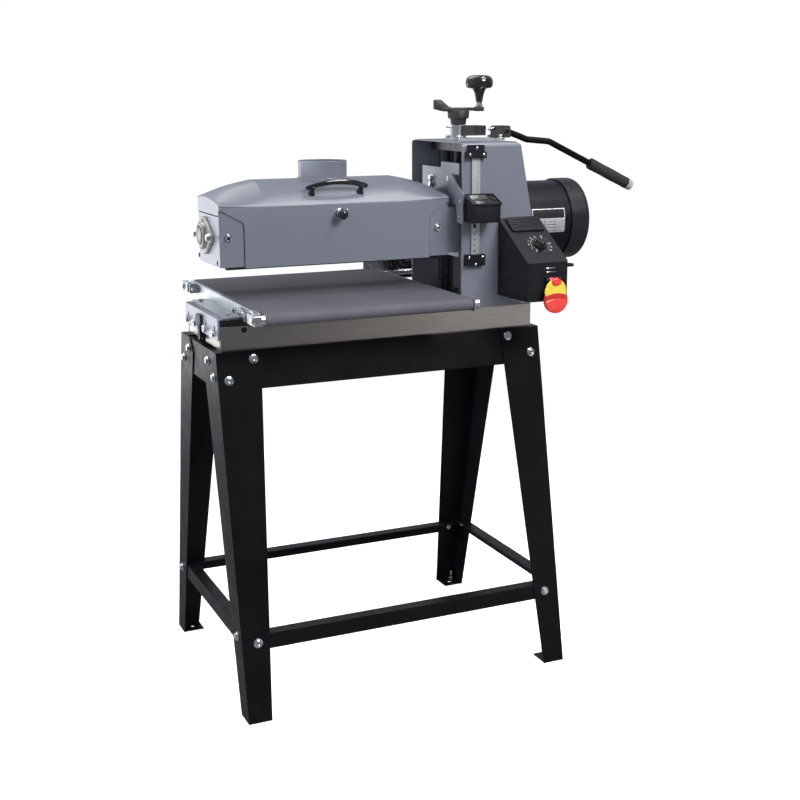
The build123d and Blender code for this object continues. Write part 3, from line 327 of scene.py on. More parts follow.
def add_object(name, data):
    made = bpy.data.objects.new(name, data)
    bpy.context.scene.collection.objects.link(made)
    return made


def centre_of(node):
    low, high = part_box(node)
    return (low + high) / 2


def join(whole, part, material=0):
    """Moves the bmesh part into the piece being built."""
    for face in part.faces:
        face.material_index = material
    mesh = bpy.data.meshes.new("part")
    part.to_mesh(mesh)
    part.free()
    whole.from_mesh(mesh)
    bpy.data.meshes.remove(mesh)


def soften(bm, width, angle=30.0, segments=2):
    """Rounds every edge that turns by more than the angle."""
    bmesh.ops.recalc_face_normals(bm, faces=bm.faces)
    sharp = [e for e in bm.edges if e.is_manifold and e.calc_face_angle() > math.radians(angle)]
    bmesh.ops.bevel(bm, geom=sharp, offset=width, segments=segments, affect="EDGES",
                    profile=0.5, clamp_overlap=True)
    return bm


def lathe(profile, origin, axis, steps=48, closed=False):
    """Turned form: (radius, height) points about an axis; closed joins the last to the first."""
    bm = bmesh.new()
    turn = placed(origin, axis)
    rings = []
    for radius, height in profile:
        count = steps if radius > 1e-6 else 1
        angles = [2 * math.pi * k / steps for k in range(count)]
        rings.append([bm.verts.new(turn @ Vector((radius * math.cos(a), radius * math.sin(a), height)))
                      for a in angles])
    following = rings[1:] + (rings[:1] if closed else [])
    for low, high in zip(rings, following):
        for k in range(steps):
            step = (k + 1) % steps
            corners = [low[k % len(low)], low[step % len(low)],
                       high[step % len(high)], high[k % len(high)]]
            corners = list(dict.fromkeys(corners))
            if len(corners) > 2:
                bm.faces.new(corners)
    return bm


def turned(bm, profile, origin, axis, steps, material=0, closed=False):
    """Adds a turned form whose (radius, height) points are in millimetres."""
    join(bm, lathe(mm(*profile), origin, axis, steps, closed), material)


def drum(origin, axis, radius, length, round_by=0.0, steps=40):
    """Plain turned bar with rounded rims."""
    bm = lathe([(0, 0), (radius, 0), (radius, length), (0, length)], origin, axis, steps)
    return soften(bm, round_by) if round_by else bm


def prism(outline, matrix, depth):
    """Closed outline of (x, y) points in the matrix's plane, drawn by depth along its Z."""
    bm = bmesh.new()
    low = [bm.verts.new(matrix @ Vector((x, y, 0))) for x, y in outline]
    high = [bm.verts.new(matrix @ Vector((x, y, depth))) for x, y in outline]
    bm.faces.new(low)
    bm.faces.new(high)
    for k in range(len(low)):
        step = (k + 1) % len(low)
        bm.faces.new((low[k], low[step], high[step], high[k]))
    return bm


def oval(width, height, power=2.0, steps=40):
    """Outline of an ellipse, or with a higher power of a rounded rectangle."""
    points = []
    for k in range(steps):
        turn = 2 * math.pi * k / steps
        c, s = math.cos(turn), math.sin(turn)
        points.append((math.copysign(abs(c) ** (2 / power), c) * width / 2,
                       math.copysign(abs(s) ** (2 / power), s) * height / 2))
    return points


def rounded_box(low, high, round_by, segments=2):
    """Box between two corners with rounded edges."""
    low, high = Vector(low), Vector(high)
    outline = [(low.x, low.y), (high.x, low.y), (high.x, high.y), (low.x, high.y)]
    bm = prism(outline, Matrix.Translation((0, 0, low.z)), high.z - low.z)
    return soften(bm, round_by, segments=segments)


def tube(points, radii, steps=20, flat=1.0, side=RIGHT):
    """Round bar through points with a radius at each; flat squeezes it across side."""
    bm = bmesh.new()
    rings = []
    for k, point in enumerate(points):
        ahead = points[min(k + 1, len(points) - 1)] - points[max(k - 1, 0)]
        turn = placed(point, ahead, side)
        rings.append([bm.verts.new(turn @ Vector((radii[k] * math.cos(a), radii[k] * flat * math.sin(a), 0)))
                      for a in (2 * math.pi * j / steps for j in range(steps))])
    for low, high in zip(rings, rings[1:]):
        for j in range(steps):
            step = (j + 1) % steps
            bm.faces.new((low[j], low[step], high[step], high[j]))
    bm.faces.new(rings[0])
    bm.faces.new(rings[-1])
    return bm


def piece(name, bm, materials, body, stands_for=(), sharp=32.0):
    """Finished object from bm that rides on a body, smooth except across its sharper edges."""
    bmesh.ops.recalc_face_normals(bm, faces=bm.faces)
    for edge in bm.edges:
        edge.smooth = edge.is_manifold and edge.calc_face_angle() < math.radians(sharp)
    for face in bm.faces:
        face.smooth = True
    mesh = bpy.data.meshes.new(name)
    bm.to_mesh(mesh)
    bm.free()
    for material in materials:
        mesh.materials.append(finishes[material])
    made = add_object(name, mesh)
    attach(made, body)
    if stands_for:
        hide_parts(*stands_for)
    return made


# ---------------------------------------------------------------- small hardware
def hex_head(bm, place, axis, across, height, washer=0.0, metal=0):
    """Hex head with a turned-down top, on a round washer if one is given."""
    start = Vector(place)
    direction = Vector(axis).normalized()
    if washer:
        join(bm, drum(start, direction, washer, 1.4 * MM, 0.4 * MM), metal)
        start = start + direction * 1.4 * MM
    corner = across / math.sqrt(3)
    hexagon = [(0, 0), (corner, 0), (corner, height * 0.86), (corner * 0.93, height), (0, height)]
    join(bm, soften(lathe(hexagon, start, direction, 6), 0.3 * MM), metal)
    ring = [(across * 0.2, -0.1 * MM), (across * 0.43, -0.1 * MM), (across * 0.41, 0.5 * MM),
            (across * 0.28, 0.55 * MM)]
    join(bm, lathe(ring, start + direction * height, direction, 28, closed=True), metal)


def socket_head(bm, place, axis, radius, height, metal=0, dark=1):
    """Cap screw with a real socket, and a dark disc of painted shade on the socket's floor."""
    socket = radius * 0.52
    depth = height * 0.55
    profile = [(0, 0), (radius, 0), (radius, height * 0.8), (radius * 0.86, height), (socket, height),
               (socket * 0.94, height - depth), (0, height - depth)]
    join(bm, lathe(profile, place, axis, 36), metal)
    # dark disc on the socket floor: painted shade
    floor_at = Vector(place) + Vector(axis).normalized() * (height - depth + 0.1 * MM)
    join(bm, drum(floor_at, axis, socket * 0.93, 0.2 * MM), dark)


def pan_head(bm, place, axis, radius, metal=0, dark=1):
    """Domed screw whose crossed recess is two thin dark bars of painted shade laid on its top."""
    rise = radius * 0.55
    profile = [(radius * math.cos(a), rise * math.sin(a))
               for a in (math.radians(15 * k) for k in range(7))]
    profile = [(0, -0.5 * MM), (radius, -0.5 * MM)] + profile[:-1] + [(0, rise)]
    join(bm, lathe(profile, place, axis, 28), metal)
    turn = placed(Vector(place) + Vector(axis).normalized() * rise * 0.93, axis)
    # two thin dark bars: painted shade in place of the recess
    for width, height in ((radius * 1.1, radius * 0.24), (radius * 0.24, radius * 1.1)):
        join(bm, prism(oval(width, height, 6, 12), turn, 0.12 * MM), dark)


# ---------------------------------------------------------------- head
cover_low, cover_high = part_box("dust_cover")
COVER_FRONT = cover_low.y


def end_blend(x):
    """0 along the level middle of the cover, 1 at its two ends."""
    run = max(cover_low.x + LEVEL_RUN - x, x - cover_high.x + LEVEL_RUN, 0.0) / LEVEL_RUN
    return 0.6 * run + 0.4 * run ** 3


def cover_height(share, blend):
    """Height of the cover's top; share is 0 over the drum axis and 1 at the front or rear face."""
    middle = COVER_EDGE + (cover_high.z - COVER_EDGE) * (1 - share ** 2.2)
    end = COVER_END_EDGE + (COVER_END_RIDGE - COVER_END_EDGE) * (1 - share ** 2)
    return middle + (end - middle) * blend


def cover_stations():
    """Places along X: close together over the curved ends, and one at each crease."""
    left, right = cover_low.x, cover_high.x
    ends = [LEVEL_RUN * k / 14 for k in range(15)]
    return [left + d for d in ends] + [right - d for d in reversed(ends)]


def cover_shares():
    """Places across the cover from its front face (-1) to its rear face (1)."""
    return [-1 + k / 14 for k in range(29)]


def front_cut(corner, inner, slope_top, sign):
    """Edge of the cut-out at one lower front corner, from the bottom up to the end face."""
    bend = [(inner + sign * 2.5 * MM * (1 - math.cos(a)) * 2, 971 * MM + 9 * MM * math.sin(a))
            for a in (math.radians(15 * k) for k in range(5))]
    return [(inner, cover_low.z)] + bend + [(corner - sign * 6 * MM, slope_top), (corner, slope_top)]


def dust_cover():
    """Folded sheet cover: arched top, flat walls and the two cut-outs at the front corners."""
    bm = bmesh.new()
    half = -COVER_FRONT
    grid = []
    for x in cover_stations():
        grid.append([bm.verts.new((x, share * half, cover_height(abs(share), end_blend(x))))
                     for share in cover_shares()])
    for near, far in zip(grid, grid[1:]):
        for k in range(len(near) - 1):
            bm.faces.new((near[k], near[k + 1], far[k + 1], far[k]))
    # front wall, with the cut-outs
    left = front_cut(cover_low.x, cover_low.x + 51 * MM, END_PLATE_TOP, -1)
    right = front_cut(cover_high.x, cover_high.x - 45 * MM, END_PLATE_TOP, 1)
    lower = [bm.verts.new((x, COVER_FRONT, z)) for x, z in list(reversed(left)) + right]
    bm.faces.new([column[0] for column in reversed(grid)] + lower)
    # rear wall, above the hinge
    rear = [bm.verts.new((x, half, HINGE_LINE)) for x in (cover_low.x, cover_high.x)]
    bm.faces.new([column[-1] for column in grid] + [rear[1], rear[0]])
    # end walls, above the end plates
    for column, top_front, low_rear in ((grid[0], lower[0], rear[0]), (grid[-1], lower[-1], rear[1])):
        x = column[0].co.x
        foot = [bm.verts.new((x, COVER_FRONT + 3 * MM, END_PLATE_TOP)),
                bm.verts.new((x, COVER_FRONT + 3 * MM, COVER_JOINT)),
                bm.verts.new((x, half - 3 * MM, COVER_JOINT)),
                bm.verts.new((x, half - 3 * MM, HINGE_LINE))]
        bm.faces.new(column + [low_rear] + foot[::-1] + [top_front])
    bmesh.ops.recalc_face_normals(bm, faces=bm.faces)
    creases = [e for e in bm.edges if e.is_manifold and e.calc_face_angle() > math.radians(24)]
    bmesh.ops.bevel(bm, geom=creases, offset=1.9 * MM, segments=3, affect="EDGES", profile=0.5,
                    clamp_overlap=True)
    cover = piece("dust_cover_shell", bm, ["grey_paint"], "cover", ["dust_cover"], 12)
    spots = cover.data.vertices
    for edge in cover.data.edges:
        ends = [spots[k].co for k in edge.vertices]
        on_crease = all(min(abs(p.x - cover_low.x - LEVEL_RUN), abs(p.x - cover_high.x + LEVEL_RUN)) < 1e-5
                        for p in ends)
        edge.use_edge_sharp |= on_crease
    thicken = cover.modifiers.new("sheet", "SOLIDIFY")
    thicken.thickness = COVER_SHEET
    thicken.offset = -1
    foot = (port_middle.x, port_middle.y, cover_high.z - 20 * MM)
    cut_away(cover, drum(foot, UP, PORT_BORE, 60 * MM, 0, 72))
    outside = cover_low.x - 1 * MM
    corner = [(outside, 52 * MM), (outside, 110 * MM), (cover_low.x + 19 * MM, 110 * MM)]
    cut_away(cover, prism(corner, Matrix.Translation((0, 0, 880 * MM)), 200 * MM))


def cut_away(target, bm):
    """Boolean cut by the closed form bm."""
    mesh = bpy.data.meshes.new("cutter")
    bmesh.ops.recalc_face_normals(bm, faces=bm.faces)
    bm.to_mesh(mesh)
    bm.free()
    cutter = add_object("cutter", mesh)
    cut = target.modifiers.new("cut", "BOOLEAN")
    cut.operation = "DIFFERENCE"
    cut.solver = "EXACT"
    cut.object = cutter
    graph = bpy.context.evaluated_depsgraph_get()
    final = bpy.data.meshes.new_from_object(target.evaluated_get(graph))
    target.modifiers.clear()
    target.data = final
    bpy.data.objects.remove(cutter)


port_low, port_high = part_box("dust_port")
port_middle = centre_of("dust_port")


def dust_port():
    """Rolled hose collar with a turned lip, a welded seam and a bead where it meets the cover."""
    base = port_low.z - 2 * MM
    top = port_high.z
    bead = cover_high.z + 0.5 * MM
    profile = [(PORT_BORE, base), (PORT_R + 2.5 * MM, base), (PORT_R + 2.5 * MM, bead - 1 * MM),
               (PORT_R + 1.6 * MM, bead), (PORT_R - 0.4 * MM, bead), (PORT_R - 0.4 * MM, top - 5 * MM),
               (PORT_R, top - 3.6 * MM), (PORT_R, top - 0.8 * MM), (PORT_R - 0.8 * MM, top),
               (PORT_BORE + 0.6 * MM, top), (PORT_BORE, top - 0.8 * MM)]
    bm = lathe(profile, (port_middle.x, port_middle.y, 0), UP, 96, closed=True)
    seam = rounded_box((-1.6 * MM, -0.3 * MM, port_low.z), (1.6 * MM, 0.35 * MM, top - 5 * MM), 0.2 * MM)
    turn = Matrix.Translation((port_middle.x, port_middle.y, 0)) @ Matrix.Rotation(math.radians(200), 4, "Z")
    bmesh.ops.transform(seam, matrix=turn @ Matrix.Translation((0, PORT_R - 0.5 * MM, 0)), verts=seam.verts)
    join(bm, seam)
    piece("dust_port_collar", bm, ["grey_paint"], "cover", ["dust_port"])


def cover_handle():
    """Moulded bow handle with swept ends on two flared posts."""
    lean = Vector((0, -0.5, math.sqrt(0.75)))
    root = Vector((centre_of("cover_handle").x, -74.5 * MM, COVER_EDGE + 19 * MM))
    bm = bmesh.new()
    points = []
    radii = []
    for k in range(41):
        share = -1 + k / 20
        rise = 27 * MM - 14 * MM * share ** 2
        points.append(root + lean * rise + RIGHT * share * 68 * MM)
        end = max(0.0, abs(share) - 0.9) / 0.1
        radii.append((5.7 - 0.9 * share ** 2) * MM * math.sqrt(max(0.02, 1 - end ** 2)))
    join(bm, tube(points, radii, 24, 1.1, lean.cross(RIGHT)))
    for side in (-1, 1):
        foot = root + RIGHT * side * 53 * MM - lean * 1.5 * MM
        profile = [(0, 0), (7.6, 0), (7.6, 2.4), (6.2, 4.0), (5.6, 9), (5.6, 16), (6.2, 20), (0, 20.5)]
        turned(bm, profile, foot, lean, 32)
    piece("bow_handle", bm, ["gloss_black"], "cover", ["cover_handle"])


def latch_knob():
    """Ball knob on a chrome ferrule."""
    place = centre_of("latch_knob")
    place.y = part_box("latch_knob")[1].y
    bm = bmesh.new()
    neck = [(0, 8), (5.2, 8), (5.2, 10), (6.6, 11.5)]
    ball = [(10.9 * math.cos(a), 20.1 + 10.9 * math.sin(a))
            for a in (math.radians(-50 + 10 * k) for k in range(13))]
    turned(bm, neck + ball + [(0, 30.6)], place, FRONT, 40)
    ferrule = [(0, 0), (10.6, 0), (10.6, 1.2), (9.8, 1.9), (6.4, 2.2), (5.4, 3.0), (5.0, 8.4), (0, 8.4)]
    turned(bm, ferrule, place, FRONT, 32, 1)
    piece("latch_ball", bm, ["gloss_black", "bolt_zinc"], "latch", ["latch_knob"])


def cover_trim():
    """Rivets beside the latch, and a thin dark strip of painted shade on the front face under the edge of
    each curved end, standing in for the shadow in the open fold.
    """
    bm = bmesh.new()
    low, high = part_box("latch_knob")
    for x in (low.x - 7 * MM, high.x + 7 * MM):
        pan_head(bm, (x, COVER_FRONT, high.z - 4 * MM), FRONT, 2.0 * MM)
    piece("latch_rivets", bm, ["bolt_zinc", "black_plastic"], "cover")
    # thin dark sliver on the front face: painted shade where the open fold's shadow falls
    bm = bmesh.new()
    z = COVER_END_EDGE - 3.0 * MM
    for end, inner in ((cover_low.x + 0.5 * MM, cover_low.x + 56 * MM),
                       (cover_high.x - 0.5 * MM, cover_high.x - 44 * MM)):
        seam = [(end, z - 1.0 * MM), (end, z), (inner, z - 3.2 * MM)]
        plane = placed((0, COVER_FRONT + 0.5 * MM, 0), FRONT, RIGHT)
        join(bm, prism(seam, plane, 0.62 * MM))
    piece("cover_fold_painted_shade", bm, ["lead_black"], "cover")


def head_screws():
    """Cap screws of the front lips of both end plates."""
    bm = bmesh.new()
    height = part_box("sanding_drum")[0].z + DRUM_R + 2 * MM
    for x in (cover_low.x + 17.5 * MM, cover_high.x - 26.2 * MM):
        place = Vector((x, COVER_FRONT + 2.4 * MM, height))
        join(bm, drum(place, FRONT, 8.2 * MM, 1.3 * MM, 0.4 * MM), 0)
        socket_head(bm, place + FRONT * 1.3 * MM, FRONT, 5.8 * MM, 4.6 * MM)
    piece("head_screws", bm, ["bolt_zinc", "black_plastic"], "head")


def bearings():
    """Cast two-bolt flange bearings with their inner rings, nipples and bolts."""
    bm = bmesh.new()
    axis_z = centre_of("drum_bearings").z
    left_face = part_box("head_bracket")[0].x
    right_face = cover_high.x - COVER_SHEET - 0.4 * MM
    for face, side in ((left_face, -1), (right_face, 1)):
        outward = RIGHT * side
        seat = Vector((face, 0, axis_z))
        outline = []
        for reach, spread, turn in ((62, 26, 0), (38, 30, 90), (62, 26, 180), (38, 30, 270)):
            for k in (-2, -1, 0, 1, 2):
                a = math.radians(turn + k * spread / 2)
                tip = 11 * MM if reach > 50 else 27 * MM
                centre = reach * MM - tip
                outline.append((centre * math.cos(math.radians(turn)) + tip * math.cos(a),
                                centre * math.sin(math.radians(turn)) + tip * math.sin(a)))
        plane = placed(seat, outward, Vector((0, 1, 0)))
        join(bm, soften(prism(outline, plane, 7 * MM), 1.2 * MM), 0)
        hub = [(0, 0), (30, 0), (27.5, 8.5), (26.8, 13), (24.5, 14.2), (20.5, 14.2), (19.6, 12.6), (0, 12.6)]
        turned(bm, hub, seat, outward, 56)
        ring = [(12.7, 10), (18.2, 10), (18.2, 14.6), (17.4, 15.2), (13.4, 15.2), (12.7, 14.6)]
        turned(bm, ring, seat, outward, 48, 1, closed=True)
        for y in (-48 * MM, 48 * MM):
            hex_head(bm, seat + Vector((side * 7 * MM, y, 0)), outward, 13 * MM, 6 * MM, 9 * MM, 2)
        nipple = seat + Vector((side * 5 * MM, 0, 27 * MM))
        fitting = ((0, 0), (2.6, 0), (2.6, 4), (1.6, 5), (2.2, 7), (0, 8))
        turned(bm, fitting, nipple, Vector((side * 0.4, 0, 1)), 20, 2)
    piece("flange_bearings", bm, ["gearbox_silver", "dark_steel", "bolt_zinc"], "head",
          ["drum_bearings"])


def carriage_bolts():
    """Hex bolts through the carriage plate."""
    bm = bmesh.new()
    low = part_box("head_carriage")[0]
    for y, z in ((41, 1046), (41, 1032), (-52, 1049), (60, 1001)):
        hex_head(bm, (low.x, y * MM, z * MM), -RIGHT, 12 * MM, 5.5 * MM, 8 * MM)
    piece("carriage_bolts", bm, ["bolt_zinc"], "head")


# ---------------------------------------------------------------- crank and lever
def crank_arm():
    """Cast crank: stepped hub with a set screw, flat arm, boss and balance fin."""
    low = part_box("crank_arm")[0]
    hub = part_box("lead_screw")
    middle = Vector(((hub[0].x + hub[1].x) / 2, 0, low.z))
    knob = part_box("crank_knob")
    knob_x = (knob[0].x + knob[1].x) / 2
    bm = bmesh.new()
    profile = [(8.2, 0), (15.2, 0), (16, 0.8), (17.9, 12.4), (21.4, 13.0), (22.6, 14.2), (23.5, 27.4),
               (22.6, 29.2), (12, 31.2), (0, 32.4)]
    turned(bm, profile, middle, UP, 56)
    reach = knob_x - middle.x
    back = low.x + 15 * MM - middle.x
    plan = [(back, -7 * MM), (-12 * MM, -13 * MM), (0, -15 * MM), (12 * MM, -13.5 * MM)]
    plan += [(reach + 10.5 * MM * math.cos(a), 10.5 * MM * math.sin(a))
             for a in (math.radians(-80 + 20 * k) for k in range(9))]
    plan += [(12 * MM, 13.5 * MM), (0, 15 * MM), (-12 * MM, 13 * MM), (back, 7 * MM)]
    join(bm, soften(prism(plan, Matrix.Translation(middle + UP * 28.8 * MM), 7 * MM), 1.4 * MM, 40))
    boss = [(4.2, 27.8), (10.2, 27.8), (10.6, 28.4), (10.6, 36.6), (9.8, 37.6), (4.2, 37.6)]
    turned(bm, boss, (knob_x, 0, middle.z), UP, 36, closed=True)
    fin = [(low.x, 32.8), (low.x, 50.8), (low.x + 3 * MM, 52.8), (low.x + 14 * MM, 52.6),
           (low.x + 33 * MM, 38), (low.x + 41 * MM, 35.8), (low.x + 41 * MM, 27), (low.x + 23 * MM, 27.8)]
    plane = placed((0, 6 * MM, middle.z), FRONT, RIGHT)
    join(bm, soften(prism([(x, z * MM) for x, z in fin], plane, 12 * MM), 1.5 * MM))
    outward = Vector((-0.5, -0.87, 0))
    socket_head(bm, middle + UP * 20.5 * MM + outward * 20.4 * MM, outward, 3.6 * MM, 2.6 * MM, 1, 1)
    piece("crank_casting", bm, ["cast_black", "black_plastic"], "crank", ["crank_arm"])


def crank_knob():
    """Mushroom knob with a flared stem on a plated spindle."""
    low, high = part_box("crank_knob")
    middle = Vector(((low.x + high.x) / 2, 0, low.z))
    bm = bmesh.new()
    stem = [(0, 18.2), (6.6, 18.2), (7.2, 19), (7.9, 24), (9.2, 31), (11.2, 38.5), (13.6, 43.8), (15.6, 46.0)]
    cap = [(20.4, 46.5), (25, 47.4), (28.0, 49.9), (29.5, 54.0), (29.7, 59.2), (28.9, 64.2),
           (26.6, 68.8), (22.6, 72.2), (16.6, 74.0), (8.6, 74.5), (0, 74.5)]
    turned(bm, stem + cap, middle, UP, 64)
    spindle = [(0, 0), (3.9, 0), (3.9, 9.2), (7.6, 9.2), (7.6, 12.8), (6.2, 13.2), (6.2, 18.4), (0, 18.4)]
    turned(bm, spindle, middle, UP, 40, 1)
    piece("mushroom_knob", bm, ["gloss_black", "bolt_zinc"], "crank_knob_body",
          ["crank_knob"], 40)


def lever_end():
    """Foam grip with a crushed mouth and a light end cap on the lock lever."""
    grip_low, grip_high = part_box("lever_grip")
    lean = Vector((LEVER_RUN.x, 0, LEVER_RUN.z)).normalized()
    start = Vector((grip_low.x, 0, grip_high.z)) + Vector((-lean.z, 0, -lean.x)) * GRIP_R
    end = Vector((grip_high.x, 0, grip_low.z)) + Vector((lean.z, 0, lean.x)) * GRIP_R
    length = (end - start).length
    bm = bmesh.new()
    profile = [(7.1, 0), (11.6, 0), (12.8, 1.2), (13.1, 4)]
    profile += [(12.8 + 0.3 * math.cos(k * 0.9), 8 + k * (length / MM - 14) / 12) for k in range(13)]
    profile += [(13.1, length / MM - 4), (12.4, length / MM - 0.4), (7.1, length / MM)]
    turned(bm, profile, start, lean, 40, closed=True)
    piece("foam_grip", bm, ["grip_foam"], "lever", ["lever_grip"])
    bm = bmesh.new()
    profile = [(0, 0), (11.7, 0), (12.5, 0.8), (12.5, 10.5), (11.5, 13.2), (9, 14.6), (0, 15)]
    turned(bm, profile, start + lean * length, lean, 40)
    join(bm, drum(start + lean * (length + 4 * MM), lean, 12.58 * MM, 1.2 * MM, 0.3 * MM), 1)
    piece("lever_end_cap", bm, ["white_plastic", "bolt_zinc"], "lever", ["lever_cap"])


def clamp_hardware():
    """Pointer on the bearing sleeve and the screws of the top plate."""
    low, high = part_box("top_bearing_plate")
    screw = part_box("lead_screw")
    axis = Vector(((screw[0].x + screw[1].x) / 2, 0, high.z - 6 * MM))
    bm = bmesh.new()
    plan = mm((-30, -3), (-27, -5), (-16.6, -6), (-16.6, 6), (-27, 5), (-30, 3))
    join(bm, soften(prism(plan, Matrix.Translation(axis), 3.2 * MM), 0.5 * MM))
    plate_top = low.z + 4 * MM
    for x in (low.x + 11 * MM, high.x - 9 * MM):
        for side in (-1, 1):
            hex_head(bm, (x, side * 25 * MM, plate_top), UP, 10 * MM, 5 * MM, 7 * MM)
    rod = [(3.1, 0), (3.7, 0), (3.7, 27.6), (3.1, 27.6)]
    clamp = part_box("lock_clamp")
    turned(bm, rod, (clamp[1].x + 0.4 * MM, 0, 1149 * MM), RIGHT, 24, closed=True)
    piece("top_plate_hardware", bm, ["bolt_zinc"], "stand")
    bm = bmesh.new()
    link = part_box("lock_link")
    pin = Vector((link[1].x - 9 * MM, 0, link[1].z - 12 * MM))
    for side in (-1, 1):
        out = Vector((0, side, 0))
        join(bm, drum(pin + out * 14 * MM, out, 6.2 * MM, 1.6 * MM, 0.6 * MM))
    piece("lever_pin_heads", bm, ["cast_black"], "lever")


# ---------------------------------------------------------------- column and scale
def scale_marks():
    """Graduations and dots on the scale, and the screws of its brackets."""
    low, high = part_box("depth_scale")
    face = low.y
    bm = bmesh.new()
    for k in range(3, 46):
        z = low.z + k * 5 * MM
        long = 6.5 * MM if k % 2 == 0 else 3.6 * MM
        right = high.x - 1.2 * MM
        join(bm, rounded_box((right - long, face - 0.12 * MM, z), (right, face + 0.1 * MM, z + 0.45 * MM),
                             0.05 * MM, 1))
    for z in (938, 926, 914, 902):
        join(bm, drum((low.x + 6.5 * MM, face + 0.1 * MM, z * MM), FRONT, 1.7 * MM, 0.25 * MM))
    join(bm, rounded_box((low.x + 3.5 * MM, face - 0.3 * MM, 950 * MM),
                         (low.x + 10.5 * MM, face + 0.1 * MM, 958 * MM), 0.2 * MM))
    piece("scale_marks", bm, ["black_plastic"], "stand")
    bm = bmesh.new()
    blo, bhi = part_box("scale_brackets")
    middle = (blo.x + bhi.x) / 2
    spots = [(middle, bhi.z - 6.5 * MM), (blo.x + 6 * MM, bhi.z - 20 * MM), (bhi.x - 6 * MM, bhi.z - 20 * MM),
             (middle, blo.z + 2.6 * MM), (blo.x + 6 * MM, blo.z + 18 * MM), (bhi.x - 6 * MM, blo.z + 18 * MM)]
    for x, z in spots:
        pan_head(bm, (x, blo.y, z), FRONT, 3.4 * MM)
    piece("scale_screws", bm, ["bolt_zinc", "black_plastic"], "stand")


# ---------------------------------------------------------------- readout
def readout():
    """Housing of the digital readout: overhanging lid with a rim, a display and a printed key."""
    low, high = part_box("readout_box")
    body = bmesh.new()
    front = low.y + 3.6 * MM
    outline = [(low.z, high.y), (high.z - 2.5 * MM, high.y), (high.z - 20.5 * MM, front),
               (low.z + 2 * MM, front), (low.z, front + 2 * MM)]
    plane = placed((low.x + 3 * MM, 0, 0), RIGHT, UP)
    join(body, soften(prism([(z, -y) for z, y in outline], plane, high.x - low.x - 6 * MM), 1.4 * MM, 20, 3))
    middle = Vector(((low.x + high.x) / 2, (low.y + high.y - 2.6 * MM) / 2, high.z - 9.5 * MM))
    slope = placed(middle - READOUT_NORMAL * 5 * MM, READOUT_NORMAL, RIGHT)
    width = high.x - low.x - 0.6 * MM
    depth = 46.5 * MM
    join(body, soften(prism(oval(width, depth, 14, 56), slope, 4.2 * MM), 0.8 * MM, 40))
    rim_at = slope @ Matrix.Translation((0, 0, 4.1 * MM))
    for dx, dy, w, d in ((0, depth / 2 - 1.6 * MM, width - 1 * MM, 2.2 * MM),
                         (0, 1.6 * MM - depth / 2, width - 1 * MM, 2.2 * MM),
                         (1.6 * MM - width / 2, 0, 2.2 * MM, depth - 1 * MM),
                         (width / 2 - 1.6 * MM, 0, 2.2 * MM, depth - 1 * MM)):
        bar = prism(oval(w, d, 8, 24), rim_at @ Matrix.Translation((dx, dy, 0)), 1.3 * MM)
        join(body, soften(bar, 0.3 * MM, 60, 1))
    # display window with its raised frame, then the printed strip beside it
    join(body, soften(prism(oval(44 * MM, 22 * MM, 8, 40), rim_at @ Matrix.Translation((-8 * MM, 8 * MM, 0)),
                            0.8 * MM), 0.3 * MM, 60, 1))
    screen = rim_at @ Matrix.Translation((-8 * MM, 8 * MM, 0.75 * MM))
    join(body, prism(oval(38 * MM, 16 * MM, 10, 40), screen, 0.3 * MM), 1)
    for k, bar in enumerate((14, 20, 9)):
        strip = rim_at @ Matrix.Translation(((-24 + bar / 2) * MM, (-9 - k * 4) * MM, 0))
        join(body, prism(oval(bar * MM, 1.2 * MM, 6, 12), strip, 0.25 * MM), 2)
    for x in (low.x + 8 * MM, high.x - 8 * MM):
        groove = rounded_box((x - 0.5 * MM, front - 0.4 * MM, low.z + 5 * MM),
                             (x + 0.5 * MM, front + 0.4 * MM, high.z - 26 * MM), 0.2 * MM)
        join(body, groove)
    piece("readout_housing", body, ["black_plastic", "lcd", "white_print"], "head",
          ["readout_box"])
    key = bmesh.new()
    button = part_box("readout_button")
    centre = (button[0] + button[1]) / 2
    plane = placed(centre - READOUT_NORMAL * 2 * MM, READOUT_NORMAL, RIGHT)
    join(key, soften(prism(oval(11 * MM, 8 * MM, 5, 32), plane, 4.2 * MM), 0.7 * MM, 40))
    piece("readout_key_cap", key, ["grip_foam"], "readout_key", ["readout_button"])


def bracket_screws():
    """Screws that hold the readout's sheet bracket."""
    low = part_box("readout_bracket")[0]
    bm = bmesh.new()
    for y, z in ((-122, 1004), (-118, 972)):
        pan_head(bm, (low.x, y * MM, z * MM), -RIGHT, 3.6 * MM)
    piece("readout_bracket_screws", bm, ["bolt_zinc", "black_plastic"], "head")


# ---------------------------------------------------------------- controls
panel_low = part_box("control_box")[0]


def panel_place(x, along, above=0.0):
    """Matrix on the sloping panel: local X to the right, local Y up the slope, Z off the panel."""
    spot = PANEL_BACK.lerp(PANEL_FRONT, along) + RIGHT * x + PANEL_NORMAL * above
    return placed(spot, PANEL_NORMAL, RIGHT)


def written(bm, words, matrix, size, material):
    """Thin raised figures, centred on the matrix's origin."""
    curve = bpy.data.curves.new("figures", "FONT")
    curve.body = words
    curve.size = size
    curve.extrude = 0.12 * MM
    curve.align_x = "CENTER"
    curve.align_y = "CENTER"
    figures = add_object("figures", curve)
    bpy.context.view_layer.update()
    mesh = bpy.data.meshes.new_from_object(figures)
    part = bmesh.new()
    part.from_mesh(mesh)
    bmesh.ops.remove_doubles(part, verts=part.verts, dist=0.00001)
    bmesh.ops.transform(part, matrix=matrix, verts=part.verts)
    join(bm, part, material)
    bpy.data.meshes.remove(mesh)
    bpy.data.objects.remove(figures)
    bpy.data.curves.remove(curve)


